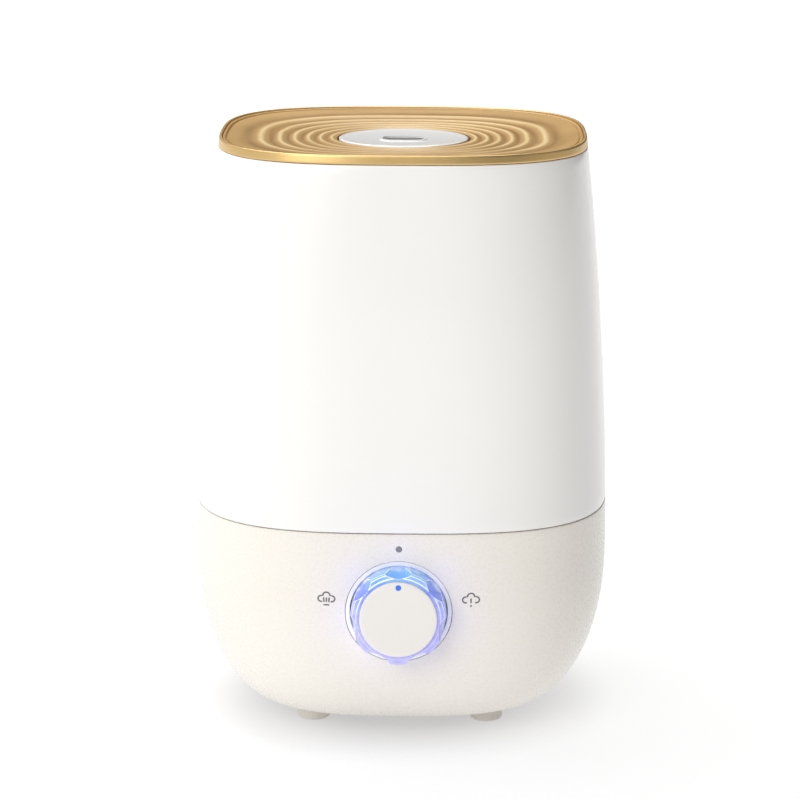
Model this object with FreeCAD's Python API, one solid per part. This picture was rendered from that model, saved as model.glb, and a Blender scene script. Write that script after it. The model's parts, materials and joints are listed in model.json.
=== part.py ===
# Ultrasonic cool mist humidifier: base with water basin, lift-off tank, lift-off lid, turning
# nozzle and front knob. Millimetres, +Z up, the knob faces -Y, +X is to the right of the knob.
# Everything is built round the body's upright axis, and then moved together along Y so that the
# origin is on the floor at the middle of the whole object's footprint, knob included.
import FreeCAD, Part

import math
import os

from FreeCAD import Placement, Rotation, Vector

os.makedirs("parts", exist_ok=True)

UP = Vector(0, 0, 1)

# ---- Body: driving sizes ----
body_width = 210.0  # X, at the belly
body_depth = 210.0  # Y, at the belly
plan_power = 3.0  # 2 is an ellipse, larger is squarer
base_clear = 7.1  # floor to the underside of the base
belly_height = 87.2
seam_height = 112.8
tank_height = 178.9
top_inset = 12.2  # how far each side draws in from the belly to the tank's top
bottom_inset = 41.3  # how far each side draws in from the belly to the flat underside
top_power = 1.95
bottom_power = 2.13
wall = 2.5
floor_thickness = 3.0
seam_gap = 0.5
rest_gap = 0.3  # between parts that lift off each other
fit_gap = 0.25  # between parts that are pushed or screwed together

# ---- Feet ----
foot_radius = 8.4
foot_edge = 2.2
foot_x = 44.0
foot_y = 47.0
foot_peg_radius = 3.0
foot_peg_length = 1.9

# ---- Service plate in the underside ----
plate_half = 46.0
plate_thickness = 2.0
plate_shelf = 2.5  # the shell's shelf above the plate
opening_half = plate_half - 8.0
plate_screw_reach = plate_half - 4.0
grille_slot_width = 2.4
grille_pitch = 5.2
grille_length = plate_half
grille_slots = 7

# ---- Deck with the water basin ----
deck_drop = 6.8  # seam to the deck's top
deck_thickness = 2.5
gasket_thickness = 1.0
gasket_width = 2.6
ledge_width = 3.5
ledge_height = 3.0
basin_half_x = 62.0
basin_half_y = 44.0
basin_corner = 20.0
basin_depth = 31.5
case_screw_x = 22.0
case_screw_y = 54.0
case_boss_radius = 5.5
case_boss_height = 10.0
case_well_radius = 3.4
case_web = 3.0  # what the case screws' heads press on
deck_post_radius = 4.5

# ---- Mist maker under the basin ----
disc_radius = 10.0
disc_thickness = 1.1
disc_rim = 1.5  # how far the seal grips the disc's edge
well_bore = disc_radius + 3.2
well_radius = well_bore + 5.8
well_depth = 10.0
well_lip = 2.5
well_mouth = disc_radius - 0.5
seal_thickness = 4.0
clamp_thickness = 2.0
clamp_screw_reach = well_bore + 2.8

# ---- Fan and its air path ----
fan_x = 38.0
fan_size = 50.0
fan_height = 15.0
fan_drop = 27.0  # basin's underside to the top of the fan
fan_bore = 23.5
fan_screw_reach = 20.0
blade_tip = fan_bore - 0.9
rotor_hub = 11.0
blade_count = 7
fan_shaft_radius = 1.0
chimney_bore = 9.5
chimney_wall = 2.0
duct_wall = 1.5

# ---- Float ----
float_x = -40.0
float_y = 30.0
float_radius = 12.0
float_height = 14.0
float_post = 5.0
float_clearance = 0.4
float_travel = 9.0

# ---- Tank valve ----
valve_x = -40.0
valve_stroke = 3.0
neck_bore = 11.0
neck_wall = 2.5
neck_length = 14.0
stem_radius = 3.0
guide_radius = 2.0
poppet_radius = 8.5
seat_bore = 6.0
spring_wire = 0.9
spring_radius = 5.0
spring_turns = 5.0

# ---- Tank ----
tank_floor_rise = 5.2  # seam to the underside of the tank's floor
tank_floor_thickness = 2.5
tube_bore = 16.0
tube_wall = 2.0
tube_top_drop = 15.7  # tank's top to the top of the mist tube
pad_x = 78.0
pad_y = 50.0
pad_radius = 5.0

# ---- Lid and nozzle ----
band_height = 4.3
band_wall = 1.5
band_flange = 1.2
band_lip = 4.8
cover_thickness = 2.0
cover_rim_drop = 0.6  # top of the band to the cover's outer edge
dish_depth = 3.3  # cover's outer edge to its middle
dish_power = 2.2
skirt_depth = 9.0
skirt_wall = 2.0
tray_thickness = 2.0
collar_drop = 1.6  # cover's underside to the top of the nozzle's collar
tray_drop = 5.0
nozzle_radius = 32.8
nozzle_ring_gap = 1.0
nozzle_thickness = 1.8
spigot_radius = nozzle_radius - 2.1
spigot_wall = 1.5
spigot_depth = 9.0
slot_length = 21.0
slot_width = 14.0
slot_lip = 1.3
slot_lip_height = 0.8
outlet_radius = tube_bore - 0.5
outlet_wall = 1.4
outlet_depth = 20.5
guard_thickness = 1.6

# ---- Knob on the front wall ----
knob_drop = 14.4  # belly to the knob's centre
cap_radius = 19.0
ring_radius = 23.5
ring_bore = cap_radius - 0.4
bezel_gap = 0.3
bezel_bore = ring_radius + 0.6
seat_radius = bezel_bore + 2.25
bezel_depth = 9.0
bezel_back = 2.0
flange_width = 3.0  # the bezel's flange outside its seat
bezel_screw_radius = 0.9
ring_height = 10.8
ring_inset = 5.5  # how far the ring reaches into its seat
flute_count = 7
flute_radius = 13.0
flute_depth = 2.8
knob_height = 12.0
cap_thickness = 2.8
core_wall = 1.5
dot_radius = 1.45
dot_reach = 16.2
shaft_radius = 3.0
shaft_clearance = 0.05
bushing_radius = 3.6
pot_radius = 8.5
pot_length = 8.0
led_count = 6

# ---- Low-water light above the knob ----
lamp_height = 105.2
lamp_lens_radius = 1.55
lamp_led_radius = 2.5
lamp_boss_drop = 6.0  # lamp's centre to the underside of its boss
lamp_boss_half = 5.0
lamp_boss_depth = 7.0

# ---- Power inlet at the back ----
inlet_height = 32.0
inlet_recess_radius = 6.2
inlet_boss_radius = 9.0
inlet_web = 2.5
inlet_depth = 12.0
jack_barrel = 4.0
jack_bore = 2.85
jack_pin = 1.0

# ---- Driver board ----
board_x = -54.0
board_width = 36.0
board_length = 68.0
board_thickness = 1.6
board_rise = 12.0
board_screw_x = 14.0
board_screw_y = 30.0

# ---- Heights that follow ----
tank_top = seam_height + tank_height
lid_bottom = tank_top + rest_gap
lid_top = lid_bottom + band_height
floor_top = base_clear + floor_thickness
deck_top = seam_height - deck_drop
deck_bottom = deck_top - deck_thickness
basin_floor = deck_top - basin_depth
basin_under = basin_floor - deck_thickness
well_bottom = basin_under - well_depth
fan_top = basin_under - fan_drop
fan_bottom = fan_top - fan_height
chimney_top = deck_top - 3.0
tank_floor_under = seam_height + tank_floor_rise
tank_floor_top = tank_floor_under + tank_floor_thickness
neck_bottom = tank_floor_under - neck_length
seat_top = neck_bottom - 5.5
tube_radius = tube_bore + tube_wall
tube_top = tank_top - tube_top_drop
hole_radius = nozzle_radius + nozzle_ring_gap
cover_edge = lid_top - cover_rim_drop
cover_middle = cover_edge - dish_depth
knob_z = belly_height - knob_drop
flange_radius = seat_radius + flange_width
bezel_screw_reach = seat_radius + flange_width / 2


def draw_in(z):
    """How far the outer wall stands inside the belly's outline at height z."""
    if z >= belly_height:
        rise = (z - belly_height) / (tank_top - belly_height)
        return top_inset * rise**top_power
    fall = min(1.0, (belly_height - z) / (belly_height - base_clear))
    return bottom_inset * (1 - math.sqrt(1 - fall**bottom_power))


def draw_in_inside(z):
    """The same for the inner face of the base's wall."""
    if z >= belly_height:
        return draw_in(z) + wall
    fall = min(1.0, (belly_height - z) / (belly_height - floor_top))
    return wall + (bottom_inset - wall) * (1 - math.sqrt(1 - fall**bottom_power))


def outline(half_x, half_y, z, power=plan_power):
    """Closed rounded-square outline |x/a|^p + |y/b|^p = 1 in four spline quarters."""
    steps = 7
    edges = []
    for quarter in range(4):
        points = []
        for step in range(steps + 1):
            angle = math.radians(90 * (quarter + step / steps))
            c = math.cos(angle)
            s = math.sin(angle)
            reach = (abs(c) ** power + abs(s) ** power) ** (-1 / power)
            points.append(Vector(half_x * reach * c, half_y * reach * s, z))
        start = math.radians(90 * quarter)
        leave = Vector(-math.sin(start), math.cos(start), 0)
        arrive = Vector(-math.cos(start), -math.sin(start), 0)
        curve = Part.BSplineCurve()
        curve.interpolate(
            Points=points,
            Parameters=[float(k) for k in range(steps + 1)],
            InitialTangent=leave,
            FinalTangent=arrive,
        )
        edges.append(curve.toShape())
    return Part.Wire(edges)


def body_outline(z, inset):
    """The body's outline at height z, drawn in by inset from the belly."""
    return outline(body_width / 2 - inset, body_depth / 2 - inset, z)


def loft(wires):
    return Part.makeLoft(wires, True, False)


def prism(wire, height):
    """Upright solid that stands on a closed flat outline."""
    return Part.Face(wire).extrude(Vector(0, 0, height))


def body_prism(z0, z1, inset):
    return prism(body_outline(z0, inset), z1 - z0)


def body_ring(z0, z1, outer_inset, inner_inset):
    return body_prism(z0, z1, outer_inset).cut(body_prism(z0, z1, inner_inset))


def cylinder(radius, z0, z1, x=0.0, y=0.0):
    return Part.makeCylinder(radius, z1 - z0, Vector(x, y, z0), UP)


def tube(outer, inner, z0, z1, x=0.0, y=0.0):
    return cylinder(outer, z0, z1, x, y).cut(cylinder(inner, z0, z1, x, y))


def box(x0, x1, y0, y1, z0, z1):
    return Part.makeBox(x1 - x0, y1 - y0, z1 - z0, Vector(x0, y0, z0))


def rounded_box(half_x, half_y, z0, z1, corner, x=0.0, y=0.0):
    """Upright box with rounded vertical edges."""
    shape = box(x - half_x, x + half_x, y - half_y, y + half_y, z0, z1)
    upright = [e for e in shape.Edges if abs(e.tangentAt(e.FirstParameter).z) > 0.9]
    return shape.makeFillet(corner, upright)


def revolve(profile, x=0.0, y=0.0):
    """Solid of revolution about the upright line through x, y from (radius, height) points."""
    points = [Vector(x + radius, y, height) for radius, height in profile]
    face = Part.Face(Part.makePolygon(points + points[:1]))
    return face.revolve(Vector(x, y, 0), UP, 360)


def screw(x, y, bearing, length, radius, head_radius, head_height):
    """Pan-head screw driven upwards: bearing is the height where its head stops."""
    head = cylinder(head_radius, bearing - head_height, bearing, x, y)
    shank = cylinder(radius, bearing, bearing + length, x, y)
    cross = box(x - 0.3, x + 0.3, y - head_radius * 0.6, y + head_radius * 0.6,
                bearing - head_height, bearing - head_height + 0.8)
    turned = cross.copy()
    turned.rotate(Vector(x, y, 0), UP, 90)
    return head.fuse(shank).cut(cross).cut(turned).removeSplitter()


def around(count, radius, x=0.0, y=0.0, first=0.0):
    """Evenly spaced places on a circle."""
    places = []
    for k in range(count):
        angle = math.radians(first + 360 * k / count)
        places.append((x + radius * math.cos(angle), y + radius * math.sin(angle)))
    return places


def corners(half_x, half_y, x=0.0, y=0.0):
    return [(x + sx * half_x, y + sy * half_y) for sx in (-1, 1) for sy in (-1, 1)]


def fuse_all(shapes):
    return shapes[0].multiFuse(shapes[1:]).removeSplitter()


# ---- Body surfaces ----
def base_levels(bottom, drawn, steps=8):
    """Outlines from the flat underside round the curve to the belly, closer where it turns."""
    wires = []
    for k in range(steps):
        turn = math.radians(90 * (1 - k / steps))
        fall = math.sin(turn) ** (2 / bottom_power)
        z = belly_height - fall * (belly_height - bottom)
        wires.append(body_outline(z, drawn(z)))
    return wires


def base_solid(top, inset=0.0):
    """The base's outside as one solid, or a slightly smaller one."""
    def drawn(z):
        return draw_in(z) + inset
    wires = base_levels(base_clear, drawn)
    for share in (0.0, 0.5, 1.0):
        z = belly_height + share * (top - belly_height)
        wires.append(body_outline(z, drawn(z)))
    return loft(wires)


def base_hollow(top):
    wires = base_levels(floor_top, draw_in_inside)
    for share in (0.0, 0.5, 1.0):
        z = belly_height + share * (top - belly_height)
        wires.append(body_outline(z, draw_in_inside(z)))
    return loft(wires)


def upper_solid(bottom, top, inset, steps=5):
    """A stretch of the tapering upper body."""
    wires = []
    for k in range(steps + 1):
        z = bottom + (top - bottom) * k / steps
        wires.append(body_outline(z, draw_in(z) + inset))
    return loft(wires)


# ---- Knob frame: local Z points out of the wall at the knob's centre, local Y points up ----
knob_wall = body_depth / 2 - draw_in(knob_z)
knob_place = Placement(Vector(0, -knob_wall, knob_z), Rotation(Vector(1, 0, 0), 90))


def on_knob(shape):
    shape.Placement = knob_place.multiply(shape.Placement)
    return shape


def lying(radius, y0, y1, z, x=0.0):
    """Cylinder that lies along Y."""
    return Part.makeCylinder(radius, y1 - y0, Vector(x, y0, z), Vector(0, 1, 0))


# ---- Place of the low-water light in the front wall ----
lamp_wall = body_depth / 2 - draw_in(lamp_height)
lamp_boss_back = -lamp_wall + wall + lamp_boss_depth
lamp_led_y = -lamp_wall + wall + 3.5


def lamp_notch(z0, z1):
    """Room round the light's boss for the deck and its gasket."""
    half = lamp_boss_half + rest_gap
    return box(-half, half, -lamp_wall - 1, lamp_boss_back + rest_gap, z0, z1)


# ---- Base ----
def base_shell():
    rim = seam_height - seam_gap / 2
    shell = base_solid(rim).cut(base_hollow(seam_height + 1))
    ledge_top = deck_bottom - gasket_thickness
    inside = draw_in_inside(ledge_top)
    ledge = body_ring(ledge_top - ledge_height, ledge_top, inside - 0.6, inside + ledge_width)
    shelf_top = base_clear + plate_thickness + plate_shelf
    added = [shell, ledge]
    added.append(prism(outline(plate_half + 2.5, plate_half + 2.5, floor_top - 0.5),
                       shelf_top - floor_top + 0.5))
    for x, y in around(4, plate_screw_reach):
        added.append(cylinder(3.5, floor_top, shelf_top + 8, x, y))
    for x, y in corners(case_screw_x, case_screw_y):
        added.append(cylinder(case_boss_radius, floor_top - 1, floor_top + case_boss_height, x, y))
    for x, y in corners(board_screw_x, board_screw_y, board_x):
        added.append(cylinder(3.0, floor_top - 0.6, floor_top + board_rise, x, y))
    skin = base_solid(rim, 1.0)
    knob_boss = on_knob(Part.makeCylinder(flange_radius, bezel_depth + 8, Vector(0, 0, -bezel_depth)))
    added.append(knob_boss.common(skin))
    lamp_boss = box(-lamp_boss_half, lamp_boss_half, -lamp_wall, lamp_boss_back,
                    lamp_height - lamp_boss_drop, lamp_height + 4)
    added.append(lamp_boss.common(skin))
    inlet_wall = body_depth / 2 - draw_in(inlet_height)
    web_inside = inlet_wall - inlet_depth
    added.append(lying(inlet_boss_radius, web_inside, inlet_wall + 5, inlet_height).common(skin))
    shell = fuse_all(added)
    cuts = [
        prism(outline(plate_half + fit_gap, plate_half + fit_gap, base_clear - 1), plate_thickness + 1),
        prism(outline(opening_half, opening_half, base_clear), 8.0),
        on_knob(Part.makeCylinder(seat_radius, 40, Vector(0, 0, -bezel_depth - 2))),
        lying(lamp_lens_radius + 0.03, -lamp_wall - 1, -lamp_wall + wall + 3.5, lamp_height),
        cylinder(lamp_led_radius + 0.1, lamp_height - 12, lamp_height + 2, 0, lamp_led_y),
        lying(inlet_recess_radius, web_inside + inlet_web, inlet_wall + 6, inlet_height),
        lying(jack_barrel + 0.05, web_inside - 1, inlet_wall, inlet_height),
    ]
    for x, y in around(4, plate_screw_reach):
        cuts.append(cylinder(1.2, base_clear, shelf_top + 6, x, y))
    for x, y in corners(case_screw_x, case_screw_y):
        cuts.append(cylinder(case_well_radius, base_clear - 1, floor_top + case_boss_height - case_web, x, y))
        cuts.append(cylinder(1.8, base_clear, floor_top + case_boss_height + 1, x, y))
    for x, y in corners(board_screw_x, board_screw_y, board_x):
        cuts.append(cylinder(1.1, floor_top + board_rise - 8, floor_top + board_rise + 1, x, y))
    for x, y in corners(foot_x, foot_y):
        cuts.append(cylinder(foot_peg_radius, base_clear - 1, base_clear + foot_peg_length, x, y))
    for x, y in around(3, bezel_screw_reach, first=30):
        cuts.append(on_knob(Part.makeCylinder(bezel_screw_radius, 4, Vector(x, y, -bezel_depth - 1))))
    return shell.cut(cuts)


def bottom_plate():
    plate = prism(outline(plate_half, plate_half, base_clear), plate_thickness)
    cuts = []
    half = (grille_length - grille_slot_width) / 2
    for k in range(grille_slots):
        y = (k - (grille_slots - 1) / 2) * grille_pitch
        cuts.append(box(-half, half, y - grille_slot_width / 2, y + grille_slot_width / 2,
                        base_clear - 1, base_clear + plate_thickness + 1))
    for x, y in around(4, plate_screw_reach):
        cuts.append(cylinder(1.5, base_clear - 1, base_clear + plate_thickness + 1, x, y))
    return plate.cut(cuts)


def plate_screws():
    return Part.makeCompound([screw(x, y, base_clear, 9, 1.2, 2.6, 1.6)
                              for x, y in around(4, plate_screw_reach)])


def foot(x, y):
    """Soft foot with a rounded lower edge and a peg glued into the shell."""
    r = foot_radius
    body = cylinder(r, 0, base_clear, x, y)
    lower = [e for e in body.Edges if e.BoundBox.ZMax < 0.01]
    body = body.makeFillet(foot_edge, lower)
    return body.fuse(cylinder(foot_peg_radius, base_clear - 0.5, base_clear + foot_peg_length, x, y))


def basin_deck():
    """Top of the base in one moulding: deck, basin, transducer well, chimney and posts."""
    edge = draw_in_inside(deck_bottom) + fit_gap
    added = [body_prism(deck_bottom, deck_top, edge)]
    shell_half_x = basin_half_x + deck_thickness
    shell_half_y = basin_half_y + deck_thickness
    added.append(rounded_box(shell_half_x, shell_half_y, basin_under, deck_bottom + 1,
                             basin_corner + deck_thickness))
    deck = fuse_all(added)
    deck = deck.cut(rounded_box(basin_half_x, basin_half_y, basin_floor, deck_top + 1, basin_corner))
    post_bottom = floor_top + case_boss_height
    pin_top = valve_stem_bottom() - rest_gap
    added = [
        deck,
        cylinder(well_radius, well_bottom, basin_under + 0.5),
        cylinder(chimney_bore + chimney_wall, basin_floor - 1, chimney_top, fan_x),
        cylinder(float_post, basin_floor - 1, float_post_top(), float_x, float_y),
        revolve([(0, basin_floor - 1), (5, basin_floor - 1), (5, basin_floor), (2.5, basin_floor + 5),
                 (2.5, pin_top), (0, pin_top)], valve_x),
    ]
    for x, y in corners(case_screw_x, case_screw_y):
        added.append(cylinder(deck_post_radius, post_bottom, deck_bottom + 1, x, y))
    for x, y in corners(fan_screw_reach, fan_screw_reach, fan_x):
        added.append(cylinder(2.6, fan_top, basin_under + 1, x, y))
    deck = fuse_all(added)
    cuts = [
        cylinder(well_bore, well_bottom - 1, basin_under - well_lip),
        cylinder(well_mouth, well_bottom, basin_floor + 1),
        cylinder(chimney_bore, basin_under - 1, chimney_top + 1, fan_x),
        cylinder(3.4, basin_under - 1, float_post_top() - 4, float_x, float_y),
        cylinder(1.5, float_post_top() - 2.5, float_post_top() + 1, float_x, float_y),
        lamp_notch(deck_bottom - 1, deck_top + 1),
    ]
    for x, y in corners(case_screw_x, case_screw_y):
        cuts.append(cylinder(1.4, post_bottom - 1, post_bottom + 15, x, y))
    for x, y in corners(fan_screw_reach, fan_screw_reach, fan_x):
        cuts.append(cylinder(1.0, fan_top - 1, fan_top + 10, x, y))
    for x, y in around(3, clamp_screw_reach, first=90):
        cuts.append(cylinder(1.0, well_bottom - 1, well_bottom + 7, x, y))
    return deck.cut(cuts)


def deck_gasket():
    inside = draw_in_inside(deck_bottom)
    ring = body_ring(deck_bottom - gasket_thickness, deck_bottom,
                     inside + fit_gap, inside + fit_gap + gasket_width)
    return ring.cut(lamp_notch(deck_bottom - 3, deck_top))


def case_screws():
    bearing = floor_top + case_boss_height - case_web
    return Part.makeCompound([screw(x, y, bearing, 15, 1.35, 3.1, 2.0)
                              for x, y in corners(case_screw_x, case_screw_y)])


# ---- Mist maker ----
seal_top = basin_under - well_lip
seal_bottom = seal_top - seal_thickness
disc_bottom = seal_top - 2.5


def transducer_disc():
    return cylinder(disc_radius, disc_bottom, disc_bottom + disc_thickness)


def transducer_seal():
    ring = tube(well_bore - 0.1, disc_radius - disc_rim, seal_bottom, seal_top)
    return ring.cut(cylinder(disc_radius, disc_bottom, disc_bottom + disc_thickness))


def transducer_clamp():
    plate = cylinder(well_radius, well_bottom - clamp_thickness, well_bottom)
    boss = cylinder(well_bore - 0.3, well_bottom - 0.5, seal_bottom)
    cuts = [cylinder(disc_radius - disc_rim - 1, well_bottom - clamp_thickness - 1, seal_bottom + 1)]
    for x, y in around(3, clamp_screw_reach, first=90):
        cuts.append(cylinder(1.2, well_bottom - clamp_thickness - 1, well_bottom + 1, x, y))
    return plate.fuse(boss).removeSplitter().cut(cuts)


def clamp_screws():
    return Part.makeCompound([screw(x, y, well_bottom - clamp_thickness, 8, 1.0, 2.1, 1.4)
                              for x, y in around(3, clamp_screw_reach, first=90)])


# ---- Driver board ----
board_under = floor_top + board_rise
board_top = board_under + board_thickness


def driver_board():
    board = box(board_x - board_width / 2, board_x + board_width / 2,
                -board_length / 2, board_length / 2, board_under, board_top)
    return board.cut([cylinder(1.4, board_under - 1, board_top + 1, x, y)
                      for x, y in corners(board_screw_x, board_screw_y, board_x)])


def board_screws():
    """Small screws driven down into the standoffs."""
    screws = []
    for x, y in corners(board_screw_x, board_screw_y, board_x):
        head = cylinder(2.4, board_top, board_top + 1.5, x, y)
        screws.append(head.fuse(cylinder(1.1, board_top - 7, board_top + 0.5, x, y)).removeSplitter())
    return Part.makeCompound(screws)


def capacitors():
    return Part.makeCompound([cylinder(5, board_top, board_top + 14, board_x - 8, y)
                              for y in (-16.0, -3.0)])


def coil():
    core = tube(8, 3.5, board_top, board_top + 8, board_x + 6, -12)
    edges = [e for e in core.Edges if abs(e.Length - 2 * math.pi * 8) < 0.1]
    return core.makeFillet(1.5, edges)


def heat_sink():
    """Finned block with the power transistor's flat behind it."""
    base = box(board_x - 12, board_x + 12, 10, 12.5, board_top, board_top + 20)
    fins = [box(x - 0.6, x + 0.6, 12, 20, board_top, board_top + 20)
            for x in [board_x - 10 + 5 * k for k in range(5)]]
    return fuse_all([base] + fins)


# ---- Fan ----
def fan_housing():
    """Square fan frame with a round throat and a motor mount on three arms."""
    half = fan_size / 2
    frame = rounded_box(half, half, fan_bottom, fan_top, 3.0, fan_x)
    frame = frame.cut(cylinder(fan_bore, fan_bottom - 1, fan_top + 1, fan_x))
    added = [frame, cylinder(rotor_hub - 1, fan_top - 2, fan_top, fan_x)]
    for k in range(3):
        arm = box(fan_x, fan_x + fan_bore + 0.5, -1.5, 1.5, fan_top - 2, fan_top)
        arm.rotate(Vector(fan_x, 0, 0), UP, 30 + 120 * k)
        added.append(arm)
    added.append(cylinder(2.6, fan_top - 10, fan_top - 1, fan_x))
    frame = fuse_all(added)
    cuts = [cylinder(fan_shaft_radius + 0.05, fan_bottom, fan_top - 0.8, fan_x)]
    for x, y in corners(fan_screw_reach, fan_screw_reach, fan_x):
        cuts.append(cylinder(1.6, fan_bottom - 1, fan_top + 1, x, y))
    return frame.cut(cuts)


def fan_stator():
    return tube(8.2, 2.6, fan_top - 9, fan_top - 2.4, fan_x)


def fan_rotor():
    """Cup-shaped hub over the stator, with pitched blades."""
    low = fan_bottom + 1.2
    high = fan_top - 2.6
    hub = cylinder(rotor_hub, low, high, fan_x)
    hub = hub.cut(cylinder(rotor_hub - 1.6, low + 2.0, high + 1, fan_x))
    blades = [hub]
    for k in range(blade_count):
        blade = box(fan_x + rotor_hub - 1, fan_x + blade_tip, -0.5, 0.5, low - 3, high + 3)
        blade.rotate(Vector(fan_x, 0, (low + high) / 2), Vector(1, 0, 0), 38)
        blade = blade.common(tube(blade_tip, rotor_hub - 0.8, low + 0.3, high - 0.3, fan_x))
        blade.rotate(Vector(fan_x, 0, 0), UP, 360 * k / blade_count)
        blades.append(blade)
    return fuse_all(blades).cut(cylinder(fan_shaft_radius, low - 1, low + 3, fan_x))


def fan_shaft():
    return cylinder(fan_shaft_radius, fan_bottom + 1.2, fan_top - 1.5, fan_x)


def fan_screws():
    return Part.makeCompound([screw(x, y, fan_bottom, fan_height + 8, 1.0, 2.4, 1.6)
                              for x, y in corners(fan_screw_reach, fan_screw_reach, fan_x)])


def air_duct():
    """Funnel from the fan up to the hole under the chimney."""
    mouth = fan_bore - 0.5
    top = chimney_bore + 0.5
    mid = basin_under - 6
    return revolve([(mouth, fan_top), (mouth + duct_wall - 0.2, fan_top), (top + duct_wall, mid),
                    (top + duct_wall, basin_under), (top, basin_under), (top, mid)], fan_x)


# ---- Float ----
def float_post_top():
    return basin_floor + 1.5 + float_height + float_travel + 1.0


def float_ring():
    low = basin_floor + 1.5
    ring = tube(float_radius, float_post + float_clearance, low, low + float_height, float_x, float_y)
    return ring.cut(tube(8.6, 6.6, low - 1, low + 4, float_x, float_y))


def float_magnet():
    low = basin_floor + 1.5
    return tube(8.6, 6.6, low + 0.6, low + 4, float_x, float_y)


def float_cap():
    top = float_post_top()
    disc = cylinder(8, top, top + 1.8, float_x, float_y)
    return disc.fuse(cylinder(1.5, top - 2.4, top + 0.5, float_x, float_y)).removeSplitter()


def reed_switch():
    return cylinder(1.3, basin_floor + 4, basin_floor + 18, float_x, float_y)


# ---- Knob ----
def knob_bezel():
    """White cup flush with the wall round the knob; its back carries the potentiometer."""
    outer = seat_radius - bezel_gap
    cup = Part.makeCylinder(outer, bezel_depth + 6, Vector(0, 0, -bezel_depth))
    back = Part.makeCylinder(flange_radius, bezel_back, Vector(0, 0, -bezel_depth - bezel_back))
    cup = cup.fuse(back).removeSplitter()
    cup = cup.cut(Part.makeCylinder(bezel_bore, 30, Vector(0, 0, -bezel_depth)))
    cup = cup.cut(Part.makeCylinder(bushing_radius + 0.05, 30, Vector(0, 0, -20)))
    for x, y in around(3, bezel_screw_reach, first=30):
        hole = Part.makeCylinder(bezel_screw_radius + 0.1, 10, Vector(x, y, -bezel_depth - bezel_back - 1))
        cup = cup.cut(hole)
    lamp_side = lamp_height - lamp_boss_drop - rest_gap
    above = box(-30, 30, -body_depth, 0, lamp_side, lamp_side + 20)
    return on_knob(cup).common(base_solid(seam_height, 0.15)).cut(above)


def bezel_screws():
    screws = []
    for x, y in around(3, bezel_screw_reach, first=30):
        under = -bezel_depth - bezel_back
        head = Part.makeCylinder(1.5, 1.2, Vector(x, y, under - 1.2))
        shank = Part.makeCylinder(bezel_screw_radius, bezel_back + 2.5, Vector(x, y, under - 0.1))
        screws.append(on_knob(head.fuse(shank).removeSplitter()))
    return Part.makeCompound(screws)


def knob_ring():
    """Clear ring with shallow finger flutes that deepen towards its front."""
    profile = [(ring_bore, -ring_inset), (ring_radius + 0.1, -ring_inset), (ring_radius, ring_height - 1.2),
               (ring_radius - 1.0, ring_height - 0.4), (cap_radius + 0.4, ring_height),
               (ring_bore, ring_height)]
    ring = revolve(profile)
    lean = math.degrees(math.atan(flute_depth / ring_height))
    for k in range(flute_count):
        cutter = Part.makeCylinder(flute_radius, ring_height + 12, Vector(0, 0, -ring_height - 6))
        cutter.rotate(Vector(0, 0, 0), Vector(1, 0, 0), lean)
        cutter.translate(Vector(0, ring_radius - flute_depth + flute_radius, ring_height))
        cutter.rotate(Vector(0, 0, 0), UP, 360 * k / flute_count)
        ring = ring.cut(cutter)
    return on_knob(ring)


def knob_core():
    """Hub that carries ring and cap, with a D-shaped bore for the shaft."""
    r = ring_bore - 0.1
    top = knob_height - cap_thickness
    core = Part.makeCylinder(r, top + 1, Vector(0, 0, -1))
    core = core.cut(Part.makeCylinder(r - core_wall, top, Vector(0, 0, -1.5)))
    core = core.fuse(Part.makeCylinder(5.5, top + 1, Vector(0, 0, -1))).removeSplitter()
    bore = knob_shaft_solid(top - 1.5, 0.0)
    return on_knob(core.cut(bore))


def knob_shaft_solid(top, grow):
    """Shaft with a flat on the stretch inside the hub."""
    shaft = Part.makeCylinder(shaft_radius + grow, top + 14, Vector(0, 0, -14))
    flat = Part.makeBox(10, 10, top + 1.0, Vector(-5, shaft_radius - 1.0, -0.5))
    return shaft.cut(flat)


def pot_shaft():
    return on_knob(knob_shaft_solid(knob_height - cap_thickness - 1.5, 0.0))


def knob_cap():
    """Slightly domed cap with a softened edge."""
    low = knob_height - cap_thickness
    cap = Part.makeCylinder(cap_radius, cap_thickness, Vector(0, 0, low))
    edge = [e for e in cap.Edges if e.BoundBox.ZMin > knob_height - 0.01]
    cap = cap.makeFillet(0.6, edge)
    cap = cap.cut(Part.makeCylinder(cap_radius + 5, ring_height - low,
                                    Vector(0, 0, low)).cut(
                  Part.makeCylinder(ring_bore - 0.1, 20, Vector(0, 0, 0))))
    return on_knob(cap.cut(Part.makeCylinder(dot_radius, 10, Vector(0, dot_reach, low + 0.8))))


def knob_dot():
    low = knob_height - cap_thickness + 0.8
    return on_knob(Part.makeCylinder(dot_radius, knob_height - low, Vector(0, dot_reach, low)))


def potentiometer():
    face = -bezel_depth - bezel_back
    body = Part.makeCylinder(pot_radius, pot_length, Vector(0, 0, face - pot_length))
    bushing = Part.makeCylinder(bushing_radius, pot_length + bezel_back + 3.5,
                                Vector(0, 0, face - pot_length))
    tags = [Part.makeBox(1.2, 6, 0.6, Vector(x - 0.6, -pot_radius - 4, face - 4)) for x in (-4, 0, 4)]
    body = fuse_all([body, bushing] + tags)
    return on_knob(body.cut(Part.makeCylinder(shaft_radius + shaft_clearance, 30, Vector(0, 0, -14.3))))


def pot_nut():
    low = -bezel_depth
    nut = Part.Face(Part.makePolygon([Vector(x, y, low) for x, y in around(6, 6.0) + [(6.0, 0.0)]]))
    nut = nut.extrude(Vector(0, 0, 2.0))
    return on_knob(nut.cut(Part.makeCylinder(bushing_radius, 10, Vector(0, 0, low - 1))))


def led_board():
    ring = Part.makeCylinder(bezel_bore - 0.4, 1.6, Vector(0, 0, -bezel_depth))
    return on_knob(ring.cut(Part.makeCylinder(8, 5, Vector(0, 0, -bezel_depth - 1))))


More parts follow.
